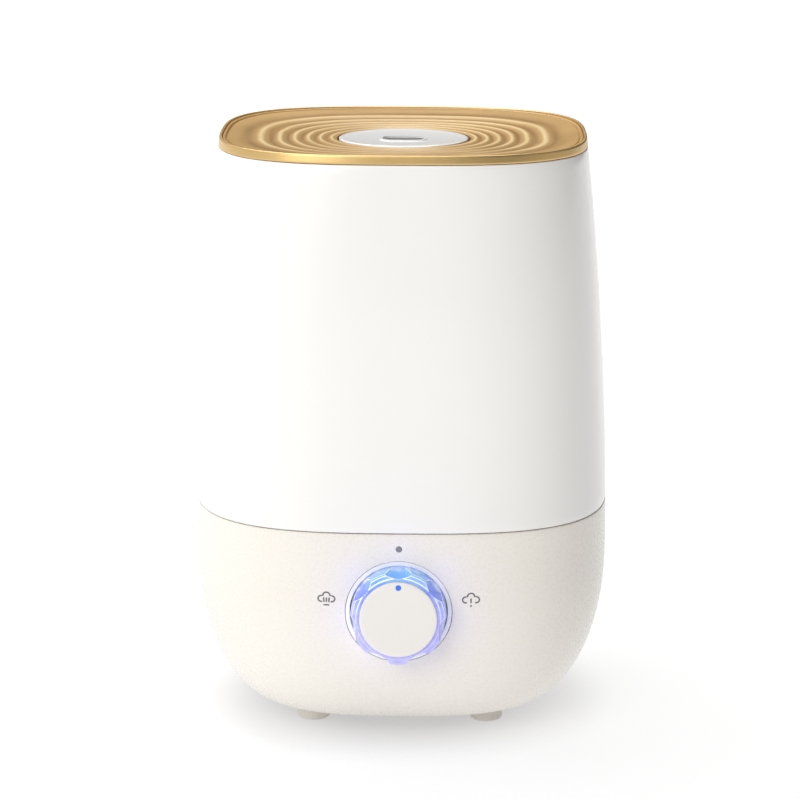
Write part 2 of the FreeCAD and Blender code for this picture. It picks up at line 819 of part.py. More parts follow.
def blue_leds():
    leds = []
    for k in range(led_count):
        led = Part.makeBox(3.5, 2.8, 1.0, Vector(-1.75, 19.6, -bezel_depth + 1.6))
        led.rotate(Vector(0, 0, 0), UP, 360 * k / led_count)
        leds.append(on_knob(led))
    return Part.makeCompound(leds)


# ---- Low-water light ----
def indicator_lens():
    return lying(lamp_lens_radius, -lamp_wall - 0.05, -lamp_wall + wall + 0.9, lamp_height)


def indicator_led():
    body = cylinder(lamp_led_radius, lamp_height - 5.5, lamp_height + 1.5, 0, lamp_led_y)
    top = [e for e in body.Edges if e.BoundBox.ZMin > lamp_height + 1.4]
    return body.makeFillet(lamp_led_radius * 0.8, top)


# ---- Power inlet ----
def dc_inlet():
    web_inside = body_depth / 2 - draw_in(inlet_height) - inlet_depth
    barrel = lying(jack_barrel, web_inside - 1, web_inside + inlet_web, inlet_height)
    body = box(-5.5, 5.5, web_inside - 12, web_inside, inlet_height - 5.5, inlet_height + 5.5)
    jack = body.fuse(barrel).removeSplitter()
    jack = jack.cut(lying(jack_bore, web_inside - 8, web_inside + 10, inlet_height))
    return jack.fuse(lying(jack_pin, web_inside - 9, web_inside + inlet_web - 0.5, inlet_height))


# ---- Tank ----
def tank_shell():
    low = seam_height + seam_gap / 2
    shell = upper_solid(low, tank_top, 0.0).cut(upper_solid(low - 1, tank_top + 1, wall))
    inside = draw_in(tank_floor_top) + wall
    ledge = body_ring(tank_floor_top, tank_floor_top + 2.5, inside - 0.8, inside + 3.0)
    return shell.fuse(ledge).removeSplitter()


def tank_floor():
    """Floor welded into the tank, with the valve neck, the tube collar and four rest pads."""
    edge = draw_in(tank_floor_top) + wall + 0.1
    plate = body_prism(tank_floor_under, tank_floor_top, edge)
    cuts = [cylinder(tube_radius + 0.1, tank_floor_under - 1, tank_floor_top + 1),
            cylinder(neck_bore, tank_floor_under - 1, tank_floor_top + 1, valve_x)]
    added = [plate.cut(cuts),
             tube(tube_radius + 3, tube_radius + 0.1, tank_floor_under, tank_floor_top + 5.5),
             tube(neck_bore + neck_wall, neck_bore, neck_bottom, tank_floor_under + 1, valve_x)]
    for x, y in corners(pad_x, pad_y):
        added.append(cylinder(pad_radius, deck_top + rest_gap, tank_floor_under + 1, x, y))
    for k in range(2):
        spoke = box(valve_x - neck_bore - 1, valve_x + neck_bore + 1, -1.5, 1.5,
                    tank_floor_under, tank_floor_top)
        spoke.rotate(Vector(valve_x, 0, 0), UP, 90 * k)
        added.append(spoke)
    added.append(cylinder(6.0, tank_floor_under, tank_floor_top, valve_x))
    floor = fuse_all(added)
    return floor.cut(cylinder(guide_radius + 0.1, tank_floor_under - 1, tank_floor_top + 1, valve_x))


def mist_tube():
    pipe = cylinder(tube_radius, tank_floor_under - 6, tube_top)
    flange = cylinder(tube_radius + 3, tank_floor_under - 2.5, tank_floor_under)
    pipe = pipe.fuse(flange).removeSplitter()
    return pipe.cut(cylinder(tube_bore, tank_floor_under - 7, tube_top + 1))


def tube_seal():
    low = tank_floor_top + 5.5
    return tube(tube_radius + 2.6, tube_radius, low, low + 2.5)


def tube_nut():
    low = tank_floor_top + 8.0
    ring = tube(tube_radius + 4.5, tube_radius, low, low + 6)
    grips = [cylinder(1.2, low - 1, low + 7, x, y) for x, y in around(12, tube_radius + 4.9)]
    return ring.cut(grips)


def valve_cap():
    """Cap on the valve neck with the seat in its floor."""
    bore = neck_bore + neck_wall + 0.1
    cup = cylinder(bore + 2.2, seat_top - 2.5, neck_bottom + 3, valve_x)
    cup = cup.cut(cylinder(bore, seat_top, neck_bottom + 4, valve_x))
    return cup.cut(cylinder(seat_bore, seat_top - 4, seat_top + 1, valve_x))


def valve_stem_bottom():
    return seat_top - 5.5


poppet_under = seat_top + valve_stroke + 1.5


def valve_stem():
    poppet_top = poppet_under + 2
    return revolve([(0, valve_stem_bottom()), (stem_radius, valve_stem_bottom()),
                    (stem_radius, poppet_under), (poppet_radius, poppet_under),
                    (poppet_radius, poppet_top), (guide_radius, poppet_top),
                    (guide_radius, tank_floor_top + 4), (0, tank_floor_top + 4)], valve_x)


def valve_seal():
    return tube(poppet_radius - 0.5, stem_radius, poppet_under - 1.2, poppet_under, valve_x)


def valve_spring():
    """Coil of square wire between the poppet and the guide."""
    half = spring_wire / 2
    low = poppet_under + 2 + half
    high = tank_floor_under - half
    helix = Part.makeHelix((high - low) / spring_turns, high - low, spring_radius)
    section = [(-half, -half), (half, -half), (half, half), (-half, half), (-half, -half)]
    profile = Part.makePolygon([Vector(spring_radius + x, 0, z) for x, z in section])
    turns = Part.Wire(helix).makePipeShell([profile], True, True)
    turns.translate(Vector(valve_x, 0, low))
    return turns


# ---- Lid ----
def lid_band():
    """Gold-coloured ring that carries on the body's taper above the tank."""
    outer = upper_solid(lid_bottom, lid_top, 0.0, steps=1)
    hollow = upper_solid(lid_bottom + band_flange, lid_top + 1, band_wall, steps=1)
    opening = body_prism(lid_bottom - 1, lid_top, draw_in(tank_top) + band_lip)
    return outer.cut([hollow, opening])


def dish_outline(share, drop):
    """The cover's surface line at a share of the way from the nozzle hole to the rim."""
    rim_x = body_width / 2 - draw_in(lid_top) - band_wall
    rim_y = body_depth / 2 - draw_in(lid_top) - band_wall
    start = hole_radius - 6
    power = 2.0 + (plan_power - 2.0) * share
    z = cover_middle + dish_depth * share**dish_power - drop
    return outline(start + (rim_x - start) * share, start + (rim_y - start) * share, z, power)


def dish(drop, steps=5):
    return loft([dish_outline(k / steps, drop) for k in range(steps + 1)])


def lid_cover():
    """Dished amber cover: even thickness, with an upright edge inside the band."""
    rim = draw_in(lid_top) + band_wall + 0.15
    seat = lid_bottom + band_flange
    body = dish(cover_thickness).fuse(body_prism(seat, cover_edge, rim)).removeSplitter()
    low = cover_middle - cover_thickness - 1
    body = body.common(body_prism(low, cover_edge, rim))
    body = body.cut(body_prism(low, seat, rim).cut(dish(cover_thickness)))
    return body.cut([dish(0.0), cylinder(hole_radius, low, cover_edge + 1)])


def lid_frame():
    """White inner tray: skirt into the tank's mouth, floor, and the nozzle's collar."""
    skirt_outer = draw_in(tank_top) + wall + 0.4
    skirt_inner = skirt_outer + skirt_wall
    skirt_low = lid_bottom - skirt_depth
    tray_top = lid_bottom - tray_drop
    collar_bore = spigot_radius + rest_gap
    collar_top = cover_middle - cover_thickness - collar_drop
    skirt = body_ring(skirt_low, lid_bottom, skirt_outer, skirt_inner)
    seal_low = skirt_low + 2.5
    skirt = skirt.cut(body_ring(seal_low, seal_low + 2.6, skirt_outer - 1, skirt_outer + 1.0))
    tray = body_prism(tray_top - tray_thickness, tray_top, skirt_inner - 0.5)
    collar = cylinder(hole_radius - 0.4, lid_bottom - 12, collar_top)
    frame = fuse_all([skirt, tray, collar])
    return frame.cut(cylinder(collar_bore, lid_bottom - 13, collar_top + 1))


def lid_seal():
    inset = draw_in(tank_top) + wall + 0.4
    low = lid_bottom - skirt_depth + 2.5
    return body_ring(low, low + 2.6, inset - 0.4, inset + 1.0)


# ---- Nozzle ----
nozzle_top = cover_middle
nozzle_under = nozzle_top - nozzle_thickness


def nozzle_disc():
    """Shallow saucer with a lipped slot, a spigot in the lid's collar and an outlet duct."""
    saucer = revolve([(0, nozzle_under), (nozzle_radius - 0.8, nozzle_under),
                      (nozzle_radius, nozzle_under + 0.7), (nozzle_radius, nozzle_top - 0.3),
                      (nozzle_radius - 0.5, nozzle_top), (nozzle_radius - 2.2, nozzle_top - 0.1),
                      (nozzle_radius * 0.6, nozzle_top - 0.6), (0, nozzle_top - 0.8)])
    lip = rounded_box(slot_length / 2 + slot_lip, slot_width / 2 + slot_lip, nozzle_under + 0.2,
                      nozzle_top - 0.8 + slot_lip_height, slot_width / 2 + slot_lip - 2.0)
    spigot = tube(spigot_radius, spigot_radius - spigot_wall, nozzle_top - spigot_depth - 2,
                  nozzle_under + 0.3)
    duct = tube(outlet_radius, outlet_radius - outlet_wall, nozzle_top - outlet_depth,
                nozzle_under + 0.3)
    disc = fuse_all([saucer, lip, spigot, duct])
    slot = rounded_box(slot_length / 2, slot_width / 2, nozzle_under - 1, nozzle_top + 2,
                       slot_width / 2 - 2.0)
    return disc.cut(slot)


def splash_guard():
    """Spoked disc in the bottom of the outlet duct that stops drops."""
    low = nozzle_top - outlet_depth
    outer = outlet_radius - outlet_wall
    parts = [tube(outer, outer - 1.4, low, low + guard_thickness), cylinder(6.5, low, low + guard_thickness)]
    for k in range(3):
        arm = box(0, outer - 0.7, -1.0, 1.0, low, low + guard_thickness)
        arm.rotate(Vector(0, 0, 0), UP, 120 * k)
        parts.append(arm)
    return fuse_all(parts)


nodes = {
    "base_shell": base_shell(),
    "bottom_plate": bottom_plate(),
    "plate_screws": plate_screws(),
    "foot_front_left": foot(-foot_x, -foot_y),
    "foot_front_right": foot(foot_x, -foot_y),
    "foot_rear_left": foot(-foot_x, foot_y),
    "foot_rear_right": foot(foot_x, foot_y),
    "basin_deck": basin_deck(),
    "deck_gasket": deck_gasket(),
    "case_screws": case_screws(),
    "transducer_disc": transducer_disc(),
    "transducer_seal": transducer_seal(),
    "transducer_clamp": transducer_clamp(),
    "clamp_screws": clamp_screws(),
    "driver_board": driver_board(),
    "board_screws": board_screws(),
    "capacitors": capacitors(),
    "coil": coil(),
    "heat_sink": heat_sink(),
    "fan_housing": fan_housing(),
    "fan_stator": fan_stator(),
    "fan_rotor": fan_rotor(),
    "fan_shaft": fan_shaft(),
    "fan_screws": fan_screws(),
    "air_duct": air_duct(),
    "float_ring": float_ring(),
    "float_magnet": float_magnet(),
    "float_cap": float_cap(),
    "reed_switch": reed_switch(),
    "knob_bezel": knob_bezel(),
    "bezel_screws": bezel_screws(),
    "led_board": led_board(),
    "blue_leds": blue_leds(),
    "potentiometer": potentiometer(),
    "pot_nut": pot_nut(),
    "pot_shaft": pot_shaft(),
    "knob_core": knob_core(),
    "knob_ring": knob_ring(),
    "knob_cap": knob_cap(),
    "knob_dot": knob_dot(),
    "indicator_lens": indicator_lens(),
    "indicator_led": indicator_led(),
    "dc_inlet": dc_inlet(),
    "tank_shell": tank_shell(),
    "tank_floor": tank_floor(),
    "mist_tube": mist_tube(),
    "tube_seal": tube_seal(),
    "tube_nut": tube_nut(),
    "valve_cap": valve_cap(),
    "valve_stem": valve_stem(),
    "valve_seal": valve_seal(),
    "valve_spring": valve_spring(),
    "lid_band": lid_band(),
    "lid_cover": lid_cover(),
    "lid_frame": lid_frame(),
    "lid_seal": lid_seal(),
    "nozzle_disc": nozzle_disc(),
    "splash_guard": splash_guard(),
}

# The knob reaches further forward than the body does: half of that reach puts the origin in the
# middle of the footprint.
front_reach = -nodes["knob_cap"].optimalBoundingBox(False, False).YMin
footprint_shift = (front_reach - body_depth / 2) / 2

for name, shape in nodes.items():
    shape.translate(Vector(0, footprint_shift, 0))
    shape.exportStep(os.path.join("parts", name + ".step"))

print("nodes", len(nodes), "footprint shift", round(footprint_shift, 3))
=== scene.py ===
import json
import math

import bpy
from mathutils import Matrix, Vector


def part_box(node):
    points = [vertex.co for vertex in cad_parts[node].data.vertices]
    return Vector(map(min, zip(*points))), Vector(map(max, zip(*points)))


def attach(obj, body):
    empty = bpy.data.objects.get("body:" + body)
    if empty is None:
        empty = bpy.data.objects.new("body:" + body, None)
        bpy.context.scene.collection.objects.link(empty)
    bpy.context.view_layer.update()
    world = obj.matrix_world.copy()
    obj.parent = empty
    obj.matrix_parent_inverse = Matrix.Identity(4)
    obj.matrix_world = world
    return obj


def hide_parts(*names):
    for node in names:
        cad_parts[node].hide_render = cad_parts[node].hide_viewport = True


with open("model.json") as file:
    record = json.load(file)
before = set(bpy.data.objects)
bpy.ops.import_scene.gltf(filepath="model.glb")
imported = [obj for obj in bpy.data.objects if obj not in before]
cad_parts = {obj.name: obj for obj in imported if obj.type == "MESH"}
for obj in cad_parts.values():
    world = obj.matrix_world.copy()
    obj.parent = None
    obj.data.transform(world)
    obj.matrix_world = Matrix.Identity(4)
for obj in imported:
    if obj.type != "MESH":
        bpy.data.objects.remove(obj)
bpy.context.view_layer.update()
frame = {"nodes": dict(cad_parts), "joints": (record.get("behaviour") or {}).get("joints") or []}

# ---------------------------------------------------------------------------------------------
# Tank wall: a tapering rounded-square shell, 2.5 mm of white ABS from one moulding, polished
# outside. It stands on the base and carries the lid on its upper edge.
# ---------------------------------------------------------------------------------------------
mm = 0.001
tank_low, tank_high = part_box("tank_shell")
base_low, base_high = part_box("base_shell")
axis_y = (base_low.y + base_high.y) / 2
belly_half = (base_high.x - base_low.x) / 2
belly_z = 87.2 * mm
plan_power = 3.0
top_inset = 12.2 * mm
bottom_inset = 41.3 * mm
top_power = 1.95
bottom_power = 2.13
wall = 2.5 * mm
lip_edge = 0.45 * mm
plan_steps = 192


def draw_in(z):
    """How far the outer wall stands inside the belly's outline at height z."""
    if z >= belly_z:
        return top_inset * ((z - belly_z) / (tank_high.z - belly_z)) ** top_power
    fall = min(1.0, (belly_z - z) / (belly_z - base_low.z))
    return bottom_inset * (1 - math.sqrt(1 - fall**bottom_power))


def body_half(z):
    return belly_half - draw_in(z)


def plan_reach(angle, power):
    """Distance to a rounded square of half width 1 in this direction."""
    return (abs(math.cos(angle)) ** power + abs(math.sin(angle)) ** power) ** (-1 / power)


def clear_selection():
    if bpy.context.object and bpy.context.object.mode != "OBJECT":
        bpy.ops.object.mode_set(mode="OBJECT")
    bpy.ops.object.select_all(action="DESELECT")


def ring_wall(section, steps, centre_y=axis_y, solid=False):
    """Lays a ring and extrudes it from point to point of a (radius, height) section.

    The section closes on itself, or for a solid piece both of its ends close at the middle.
    """
    clear_selection()
    radius, height = section[0]
    bpy.ops.mesh.primitive_circle_add(vertices=steps, radius=radius, location=(0, centre_y, height))
    bpy.ops.object.transform_apply(location=True, rotation=True, scale=True)
    bpy.ops.object.mode_set(mode="EDIT")
    bpy.ops.mesh.select_all(action="SELECT")
    for new_radius, new_height in section[1:]:
        bpy.ops.mesh.extrude_region_move(
            TRANSFORM_OT_translate={"value": (0, 0, new_height - height)})
        grow = new_radius / radius
        bpy.ops.transform.resize(value=(grow, grow, 1), center_override=(0, centre_y, new_height))
        radius, height = new_radius, new_height
    bpy.ops.mesh.select_all(action="DESELECT")
    bpy.ops.mesh.select_mode(type="EDGE")
    bpy.ops.mesh.select_non_manifold()
    if solid:
        bpy.ops.mesh.fill_holes(sides=0)
    else:
        bpy.ops.mesh.bridge_edge_loops()
    bpy.ops.mesh.select_all(action="SELECT")
    bpy.ops.mesh.normals_make_consistent(inside=False)
    bpy.ops.object.mode_set(mode="OBJECT")
    return bpy.context.object


def square_up(piece, power_at=lambda radius: plan_power):
    """Moves each point out from a round plan to the rounded-square one."""
    for point in piece.data.vertices:
        across = point.co.y - axis_y
        angle = math.atan2(across, point.co.x)
        radius = math.hypot(point.co.x, across)
        reach = plan_reach(angle, power_at(radius))
        point.co.x *= reach
        point.co.y = axis_y + across * reach


def apply_modifier(piece, kind, **settings):
    """Adds one modifier with its settings and applies it."""
    clear_selection()
    bpy.context.view_layer.objects.active = piece
    piece.select_set(True)
    modifier = piece.modifiers.new(kind, kind)
    for key, value in settings.items():
        setattr(modifier, key, value)
    bpy.ops.object.modifier_apply(modifier=modifier.name)


def soften(piece, width, segments=3, angle=40):
    apply_modifier(piece, "BEVEL", width=width, segments=segments, limit_method="ANGLE",
                   angle_limit=math.radians(angle), use_clamp_overlap=True)


def smooth(piece, angle=35):
    clear_selection()
    bpy.context.view_layer.objects.active = piece
    piece.select_set(True)
    bpy.ops.object.shade_smooth_by_angle(angle=math.radians(angle))


def linear(hex_colour):
    """sRGB hex to the linear colour that shaders take."""
    parts = [int(hex_colour[k:k + 2], 16) / 255 for k in (1, 3, 5)]
    bent = [p / 12.92 if p <= 0.04045 else ((p + 0.055) / 1.055) ** 2.4 for p in parts]
    return (*bent, 1.0)


def add_node(material, kind, links=None, inputs=None, **settings):
    """Adds one node: settings are its own values, inputs its sockets' values, links their sources."""
    node = material.node_tree.nodes.new(kind)
    for key, value in settings.items():
        setattr(node, key, value)
    for key, value in (inputs or {}).items():
        node.inputs[key].default_value = value
    for key, source in (links or {}).items():
        material.node_tree.links.new(source, node.inputs[key])
    return node


def moulded(name, light, dark, roughness, grain_mm, relief, coat=0.0, ior=1.53, metallic=0.0):
    """A moulded surface: faint cloudiness in its colour, fine grain in its gloss and relief."""
    material = bpy.data.materials.new(name)
    material.use_nodes = True
    tree = material.node_tree
    shader = tree.nodes["Principled BSDF"]
    place = add_node(material, "ShaderNodeTexCoord").outputs["Object"]
    cloud = add_node(material, "ShaderNodeTexNoise", {"Vector": place},
                     {"Scale": 1 / (60 * mm), "Detail": 3.0, "Roughness": 0.5})
    tint = add_node(material, "ShaderNodeMix", {"Factor": cloud.outputs["Fac"]}, data_type="RGBA")
    tint.inputs["A"].default_value = linear(dark)
    tint.inputs["B"].default_value = linear(light)
    grain = add_node(material, "ShaderNodeTexNoise", {"Vector": place},
                     {"Scale": 1 / (grain_mm * mm), "Detail": 2.0, "Roughness": 0.6})
    gloss = add_node(material, "ShaderNodeMapRange", {"Value": grain.outputs["Fac"]},
                     {"To Min": roughness * 0.8, "To Max": roughness * 1.2})
    bump = add_node(material, "ShaderNodeBump", {"Height": grain.outputs["Fac"]},
                    {"Strength": 1.0, "Distance": relief * mm})
    tree.links.new(tint.outputs["Result"], shader.inputs["Base Color"])
    tree.links.new(gloss.outputs["Result"], shader.inputs["Roughness"])
    tree.links.new(bump.outputs["Normal"], shader.inputs["Normal"])
    shader.inputs["IOR"].default_value = ior
    shader.inputs["Metallic"].default_value = metallic
    shader.inputs["Coat Weight"].default_value = coat
    shader.inputs["Coat Roughness"].default_value = 0.06
    return material


def settle(piece, name, material, body, node=None, second=None):
    """Names a finished piece, gives it its material and ties it to the frame."""
    piece.name = name
    piece.data.name = name
    places = [face.material_index for face in piece.data.polygons]
    piece.data.materials.clear()
    piece.data.materials.append(material)
    if second:
        piece.data.materials.append(second)
        piece.data.polygons.foreach_set("material_index", places)
    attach(piece, body)
    if node:
        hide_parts(node)
    return piece


def levels(low, high, count):
    return [low + (high - low) * k / count for k in range(count + 1)]


tank_section = [(body_half(z), z) for z in levels(tank_low.z, tank_high.z, 36)]
tank_section += [(body_half(z) - wall, z) for z in levels(tank_high.z, tank_low.z, 12)]
tank = ring_wall(tank_section, plan_steps)
square_up(tank)
soften(tank, lip_edge)
smooth(tank)

# ABS, moulded and polished: a satin-gloss cool white with the faint waviness of a large moulding.
tank_abs = moulded("ABS polished white", "#FAF9F7", "#F5F4F1", 0.24, 1.4, 0.0002, coat=0.2)
settle(tank, "tank_wall", tank_abs, "tank", "tank_shell")

# ---------------------------------------------------------------------------------------------
# Base housing: the bowl-shaped lower shell in the same ABS, a shade creamier, with round seats
# for the knob, the low-water light and the power inlet, and deep wells for the case screws.
# ---------------------------------------------------------------------------------------------
plate_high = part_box("bottom_plate")[1]
plate_half = plate_high.x
floor_top = base_low.z + 3 * mm
plate_gap = 0.25 * mm
opening_half = 38 * mm


def bowl(bottom, inset, count):
    """Section of the bowl from its flat underside to the belly, closer where it turns."""
    points = []
    for k in range(count):
        turn = math.radians(90 * (1 - k / count))
        fall = math.sin(turn) ** (2 / bottom_power)
        reach = bottom_inset - inset
        across = belly_half - inset - reach * (1 - math.cos(turn))
        points.append((across, belly_z - fall * (belly_z - bottom)))
    return points


rim_z = base_high.z
base_section = [(plate_half + plate_gap, plate_high.z), (plate_half + plate_gap, base_low.z)]
base_section += bowl(base_low.z, 0, 30)
base_section += [(body_half(z), z) for z in levels(belly_z, rim_z, 8)]
base_section += [(body_half(z) - wall, z) for z in levels(rim_z, belly_z, 4)]
base_section += list(reversed(bowl(floor_top, wall, 16)))
base_section += [(opening_half, floor_top), (opening_half, plate_high.z)]
base = ring_wall(base_section, plan_steps)
square_up(base)
soften(base, lip_edge)


def rod(radius, start, end, vertices=96):
    """A round bar between two points, as a cutter or as stock."""
    clear_selection()
    way = Vector(end) - Vector(start)
    bpy.ops.mesh.primitive_cylinder_add(vertices=vertices, radius=radius, depth=way.length,
                                        location=(Vector(start) + Vector(end)) / 2)
    bar = bpy.context.object
    bar.rotation_mode = "QUATERNION"
    bar.rotation_quaternion = way.to_track_quat("Z", "Y")
    bpy.ops.object.transform_apply(location=True, rotation=True, scale=True)
    return bar


def join(pieces):
    clear_selection()
    for piece in pieces:
        piece.select_set(True)
    bpy.context.view_layer.objects.active = pieces[0]
    bpy.ops.object.join()
    return pieces[0]


def combine(piece, tool, operation):
    """Cuts, keeps or adds the tool's volume, and removes the tool."""
    apply_modifier(piece, "BOOLEAN", operation=operation, object=tool, solver="EXACT")
    bpy.data.objects.remove(tool, do_unlink=True)


joints = {joint["name"]: joint for joint in frame["joints"]}
knob_spot = Vector(joints["knob_turn"]["pos_m"])
knob_out = -Vector(joints["knob_turn"]["axis"])
seat_radius = 26.35 * mm
lens_low, lens_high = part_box("indicator_lens")
lens_z = (lens_low.z + lens_high.z) / 2
lens_radius = (lens_high.x - lens_low.x) / 2
inlet_low, inlet_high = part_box("dc_inlet")
inlet_z = (inlet_low.z + inlet_high.z) / 2
inlet_radius = 6.2 * mm
inlet_boss = 9 * mm
inlet_neck = 4.05 * mm
lens_gap = 0.05 * mm
case_boss_radius = 5.5 * mm
screw_low, screw_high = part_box("case_screws")
screw_head_radius = 3.1 * mm
screw_x = screw_high.x - screw_head_radius
screw_y = screw_high.y - axis_y - screw_head_radius
well_radius = 3.4 * mm

# bosses stand inside the bowl: the inlet's cup is trimmed by a slightly smaller bowl
bowl_core = [(belly_half * 0.05, base_low.z + 1 * mm)] + bowl(base_low.z + 1 * mm, 1 * mm, 16)
bowl_core += [(body_half(z) - 1 * mm, z) for z in levels(belly_z, rim_z, 3)]
bowl_core += [(belly_half * 0.05, rim_z)]
core = ring_wall(bowl_core, plan_steps)
square_up(core)
boss = rod(inlet_boss, (0, inlet_high.y - 2.5 * mm, inlet_z), (0, axis_y + belly_half, inlet_z))
combine(boss, core, "INTERSECT")
bosses = [boss]
for side in (-1, 1):
    for end in (-1, 1):
        spot = (side * screw_x, axis_y + end * screw_y)
        bosses.append(rod(case_boss_radius, (*spot, floor_top - 1 * mm), (*spot, screw_low.z + 5 * mm), 48))
combine(base, join(bosses), "UNION")
cutters = [rod(seat_radius, knob_spot - knob_out * 0.03, knob_spot + knob_out * 0.03, 160),
           rod(lens_radius + lens_gap, (0, lens_low.y - 5 * mm, lens_z),
               (0, lens_high.y + 9 * mm, lens_z), 32),
           rod(inlet_radius, (0, inlet_high.y, inlet_z), (0, axis_y + belly_half, inlet_z), 64),
           rod(inlet_neck, (0, inlet_high.y - 4 * mm, inlet_z), (0, inlet_high.y + 1 * mm, inlet_z), 48)]
for side in (-1, 1):
    for end in (-1, 1):
        spot = (side * screw_x, axis_y + end * screw_y)
        cutters.append(rod(well_radius, (*spot, base_low.z - 1 * mm), (*spot, screw_low.z + 2 * mm), 48))
combine(base, join(cutters), "DIFFERENCE")
smooth(base)

# ABS again, from a slightly warmer batch than the tank.
base_abs = moulded("ABS polished warm white", "#F6F2EA", "#F1ECE3", 0.28, 1.4, 0.0002, coat=0.1)
settle(base, "base_housing", base_abs, "base", "base_shell")

# ---------------------------------------------------------------------------------------------
# Feet: four soft off-white pads with a rounded sole edge, glued to the underside.
# ---------------------------------------------------------------------------------------------
foot_edge = 2.0 * mm
silicone = moulded("silicone rubber off-white", "#E9E4DC", "#DDD7CE", 0.55, 0.6, 0.02)
for place in ("front_left", "front_right", "rear_left", "rear_right"):
    foot_low, foot_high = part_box("foot_" + place)
    middle = (foot_low + foot_high) / 2
    foot_radius = (foot_high.x - foot_low.x) / 2
    foot = rod(foot_radius, (middle.x, middle.y, 0), (middle.x, middle.y, base_low.z), 64)
    bpy.ops.object.mode_set(mode="EDIT")
    bpy.ops.mesh.select_all(action="DESELECT")
    bpy.ops.object.mode_set(mode="OBJECT")
    for face in foot.data.polygons:
        face.select = face.normal.z < -0.9
    bpy.ops.object.mode_set(mode="EDIT")
    bpy.ops.mesh.bevel(offset=foot_edge, segments=6, affect="EDGES")
    bpy.ops.object.mode_set(mode="OBJECT")
    smooth(foot)
    settle(foot, "foot_pad_" + place, silicone, "base", "foot_" + place)

# ---------------------------------------------------------------------------------------------
# Lid band: a ring of ABS with bright gold-coloured plating that carries on the body's taper and
# covers the joint between the tank and the lid.
# ---------------------------------------------------------------------------------------------
band_low, band_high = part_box("lid_band")
band_wall = 1.5 * mm
band_flange = 1.2 * mm
band_lip = 4.8 * mm
seat_z = band_low.z + band_flange
band_section = [(body_half(z), z) for z in levels(band_low.z, band_high.z, 4)]
band_section += [(body_half(z) - band_wall, z) for z in levels(band_high.z, seat_z, 3)]
band_section += [(body_half(tank_high.z) - band_lip, z) for z in (seat_z, band_low.z)]
band = ring_wall(band_section, plan_steps * 2)
square_up(band)
soften(band, 0.4 * mm)
smooth(band)

# Gold-coloured plating: a metal reflection, slightly satin, with a very fine grain.
plating = moulded("gold plating satin", "#E6C68C", "#DAB777", 0.36, 0.7, 0.003, ior=1.5, metallic=0.85)
settle(band, "lid_gold_band", plating, "lid", "lid_band")

# ---------------------------------------------------------------------------------------------
# Lid cover: a dished sheet of amber acrylic, moulded with ripples that run round the nozzle and
# turn from round to the body's rounded square. It drops into the band and hides the white tray.
# ---------------------------------------------------------------------------------------------
cover_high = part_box("lid_cover")[1]
nozzle_low, nozzle_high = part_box("nozzle_disc")
hole_radius = (nozzle_high.x - nozzle_low.x) / 2 + 1.2 * mm
cover_rim = cover_high.x
cover_edge = cover_high.z
cover_middle = nozzle_high.z
dish_power = 2.2
bevel_width = 1.6 * mm
groove_width = 0.8 * mm
groove_depth = 0.5 * mm
ripple_count = 6.25
ripple_spread = 1.5  # above 1 the ripples stand closer towards the nozzle
ripple_depth = 0.55 * mm
ripple_steps = 24
ripple_flat = 4 * mm
ripple_end = cover_rim - bevel_width - groove_width


def dish_height(radius):
    share = (radius - hole_radius) / (cover_rim - hole_radius)
    return cover_middle + (cover_edge - cover_middle) * max(0.0, share) ** dish_power


def swell(radius):
    """How many ripples lie between the hole and this radius."""
    share = (radius - hole_radius) / (ripple_end - ripple_flat - hole_radius)
    return ripple_count * (1 - (1 - min(1.0, max(0.0, share))) ** ripple_spread)


def ripple(radius):
    """0 in a trough and 1 on a crest."""
    return 0.5 - 0.5 * math.cos(2 * math.pi * swell(radius))


def cover_power(radius):
    share = (radius - hole_radius) / (cover_rim - hole_radius)
    return 2.0 + (plan_power - 2.0) * min(1.0, max(0.0, share)) ** 0.8


cover_section = [(hole_radius, cover_middle - 2 * mm), (hole_radius, cover_middle - 0.4 * mm)]
for radius in levels(hole_radius + 0.4 * mm, ripple_end, int(ripple_count * ripple_steps)):
    cover_section.append((radius, dish_height(radius) - ripple_depth * (1 - ripple(radius))))
bevel_start = cover_rim - bevel_width
cover_section += [(ripple_end + 0.15 * mm, dish_height(ripple_end) - ripple_depth - groove_depth),
                  (bevel_start - 0.15 * mm, dish_height(ripple_end) - ripple_depth - groove_depth),
                  (bevel_start, cover_edge - 0.5 * mm),
                  (bevel_start + 0.4 * mm, cover_edge - 0.1 * mm),
                  (bevel_start + 0.9 * mm, cover_edge),
                  (cover_rim - 0.2 * mm, cover_edge - 0.1 * mm),
                  (cover_rim, cover_edge - 0.35 * mm),
                  (cover_rim, seat_z)]
for radius in levels(cover_rim - 3 * mm, hole_radius + 2 * mm, 10):
    cover_section.append((radius, min(seat_z, dish_height(radius) - 2.4 * mm)))
cover = ring_wall(cover_section, plan_steps)

swells = cover.data.attributes.new("swell", "FLOAT", "POINT")
for point in cover.data.vertices:
    swells.data[point.index].value = swell(math.hypot(point.co.x, point.co.y - axis_y))
square_up(cover, cover_power)
smooth(cover, 50)
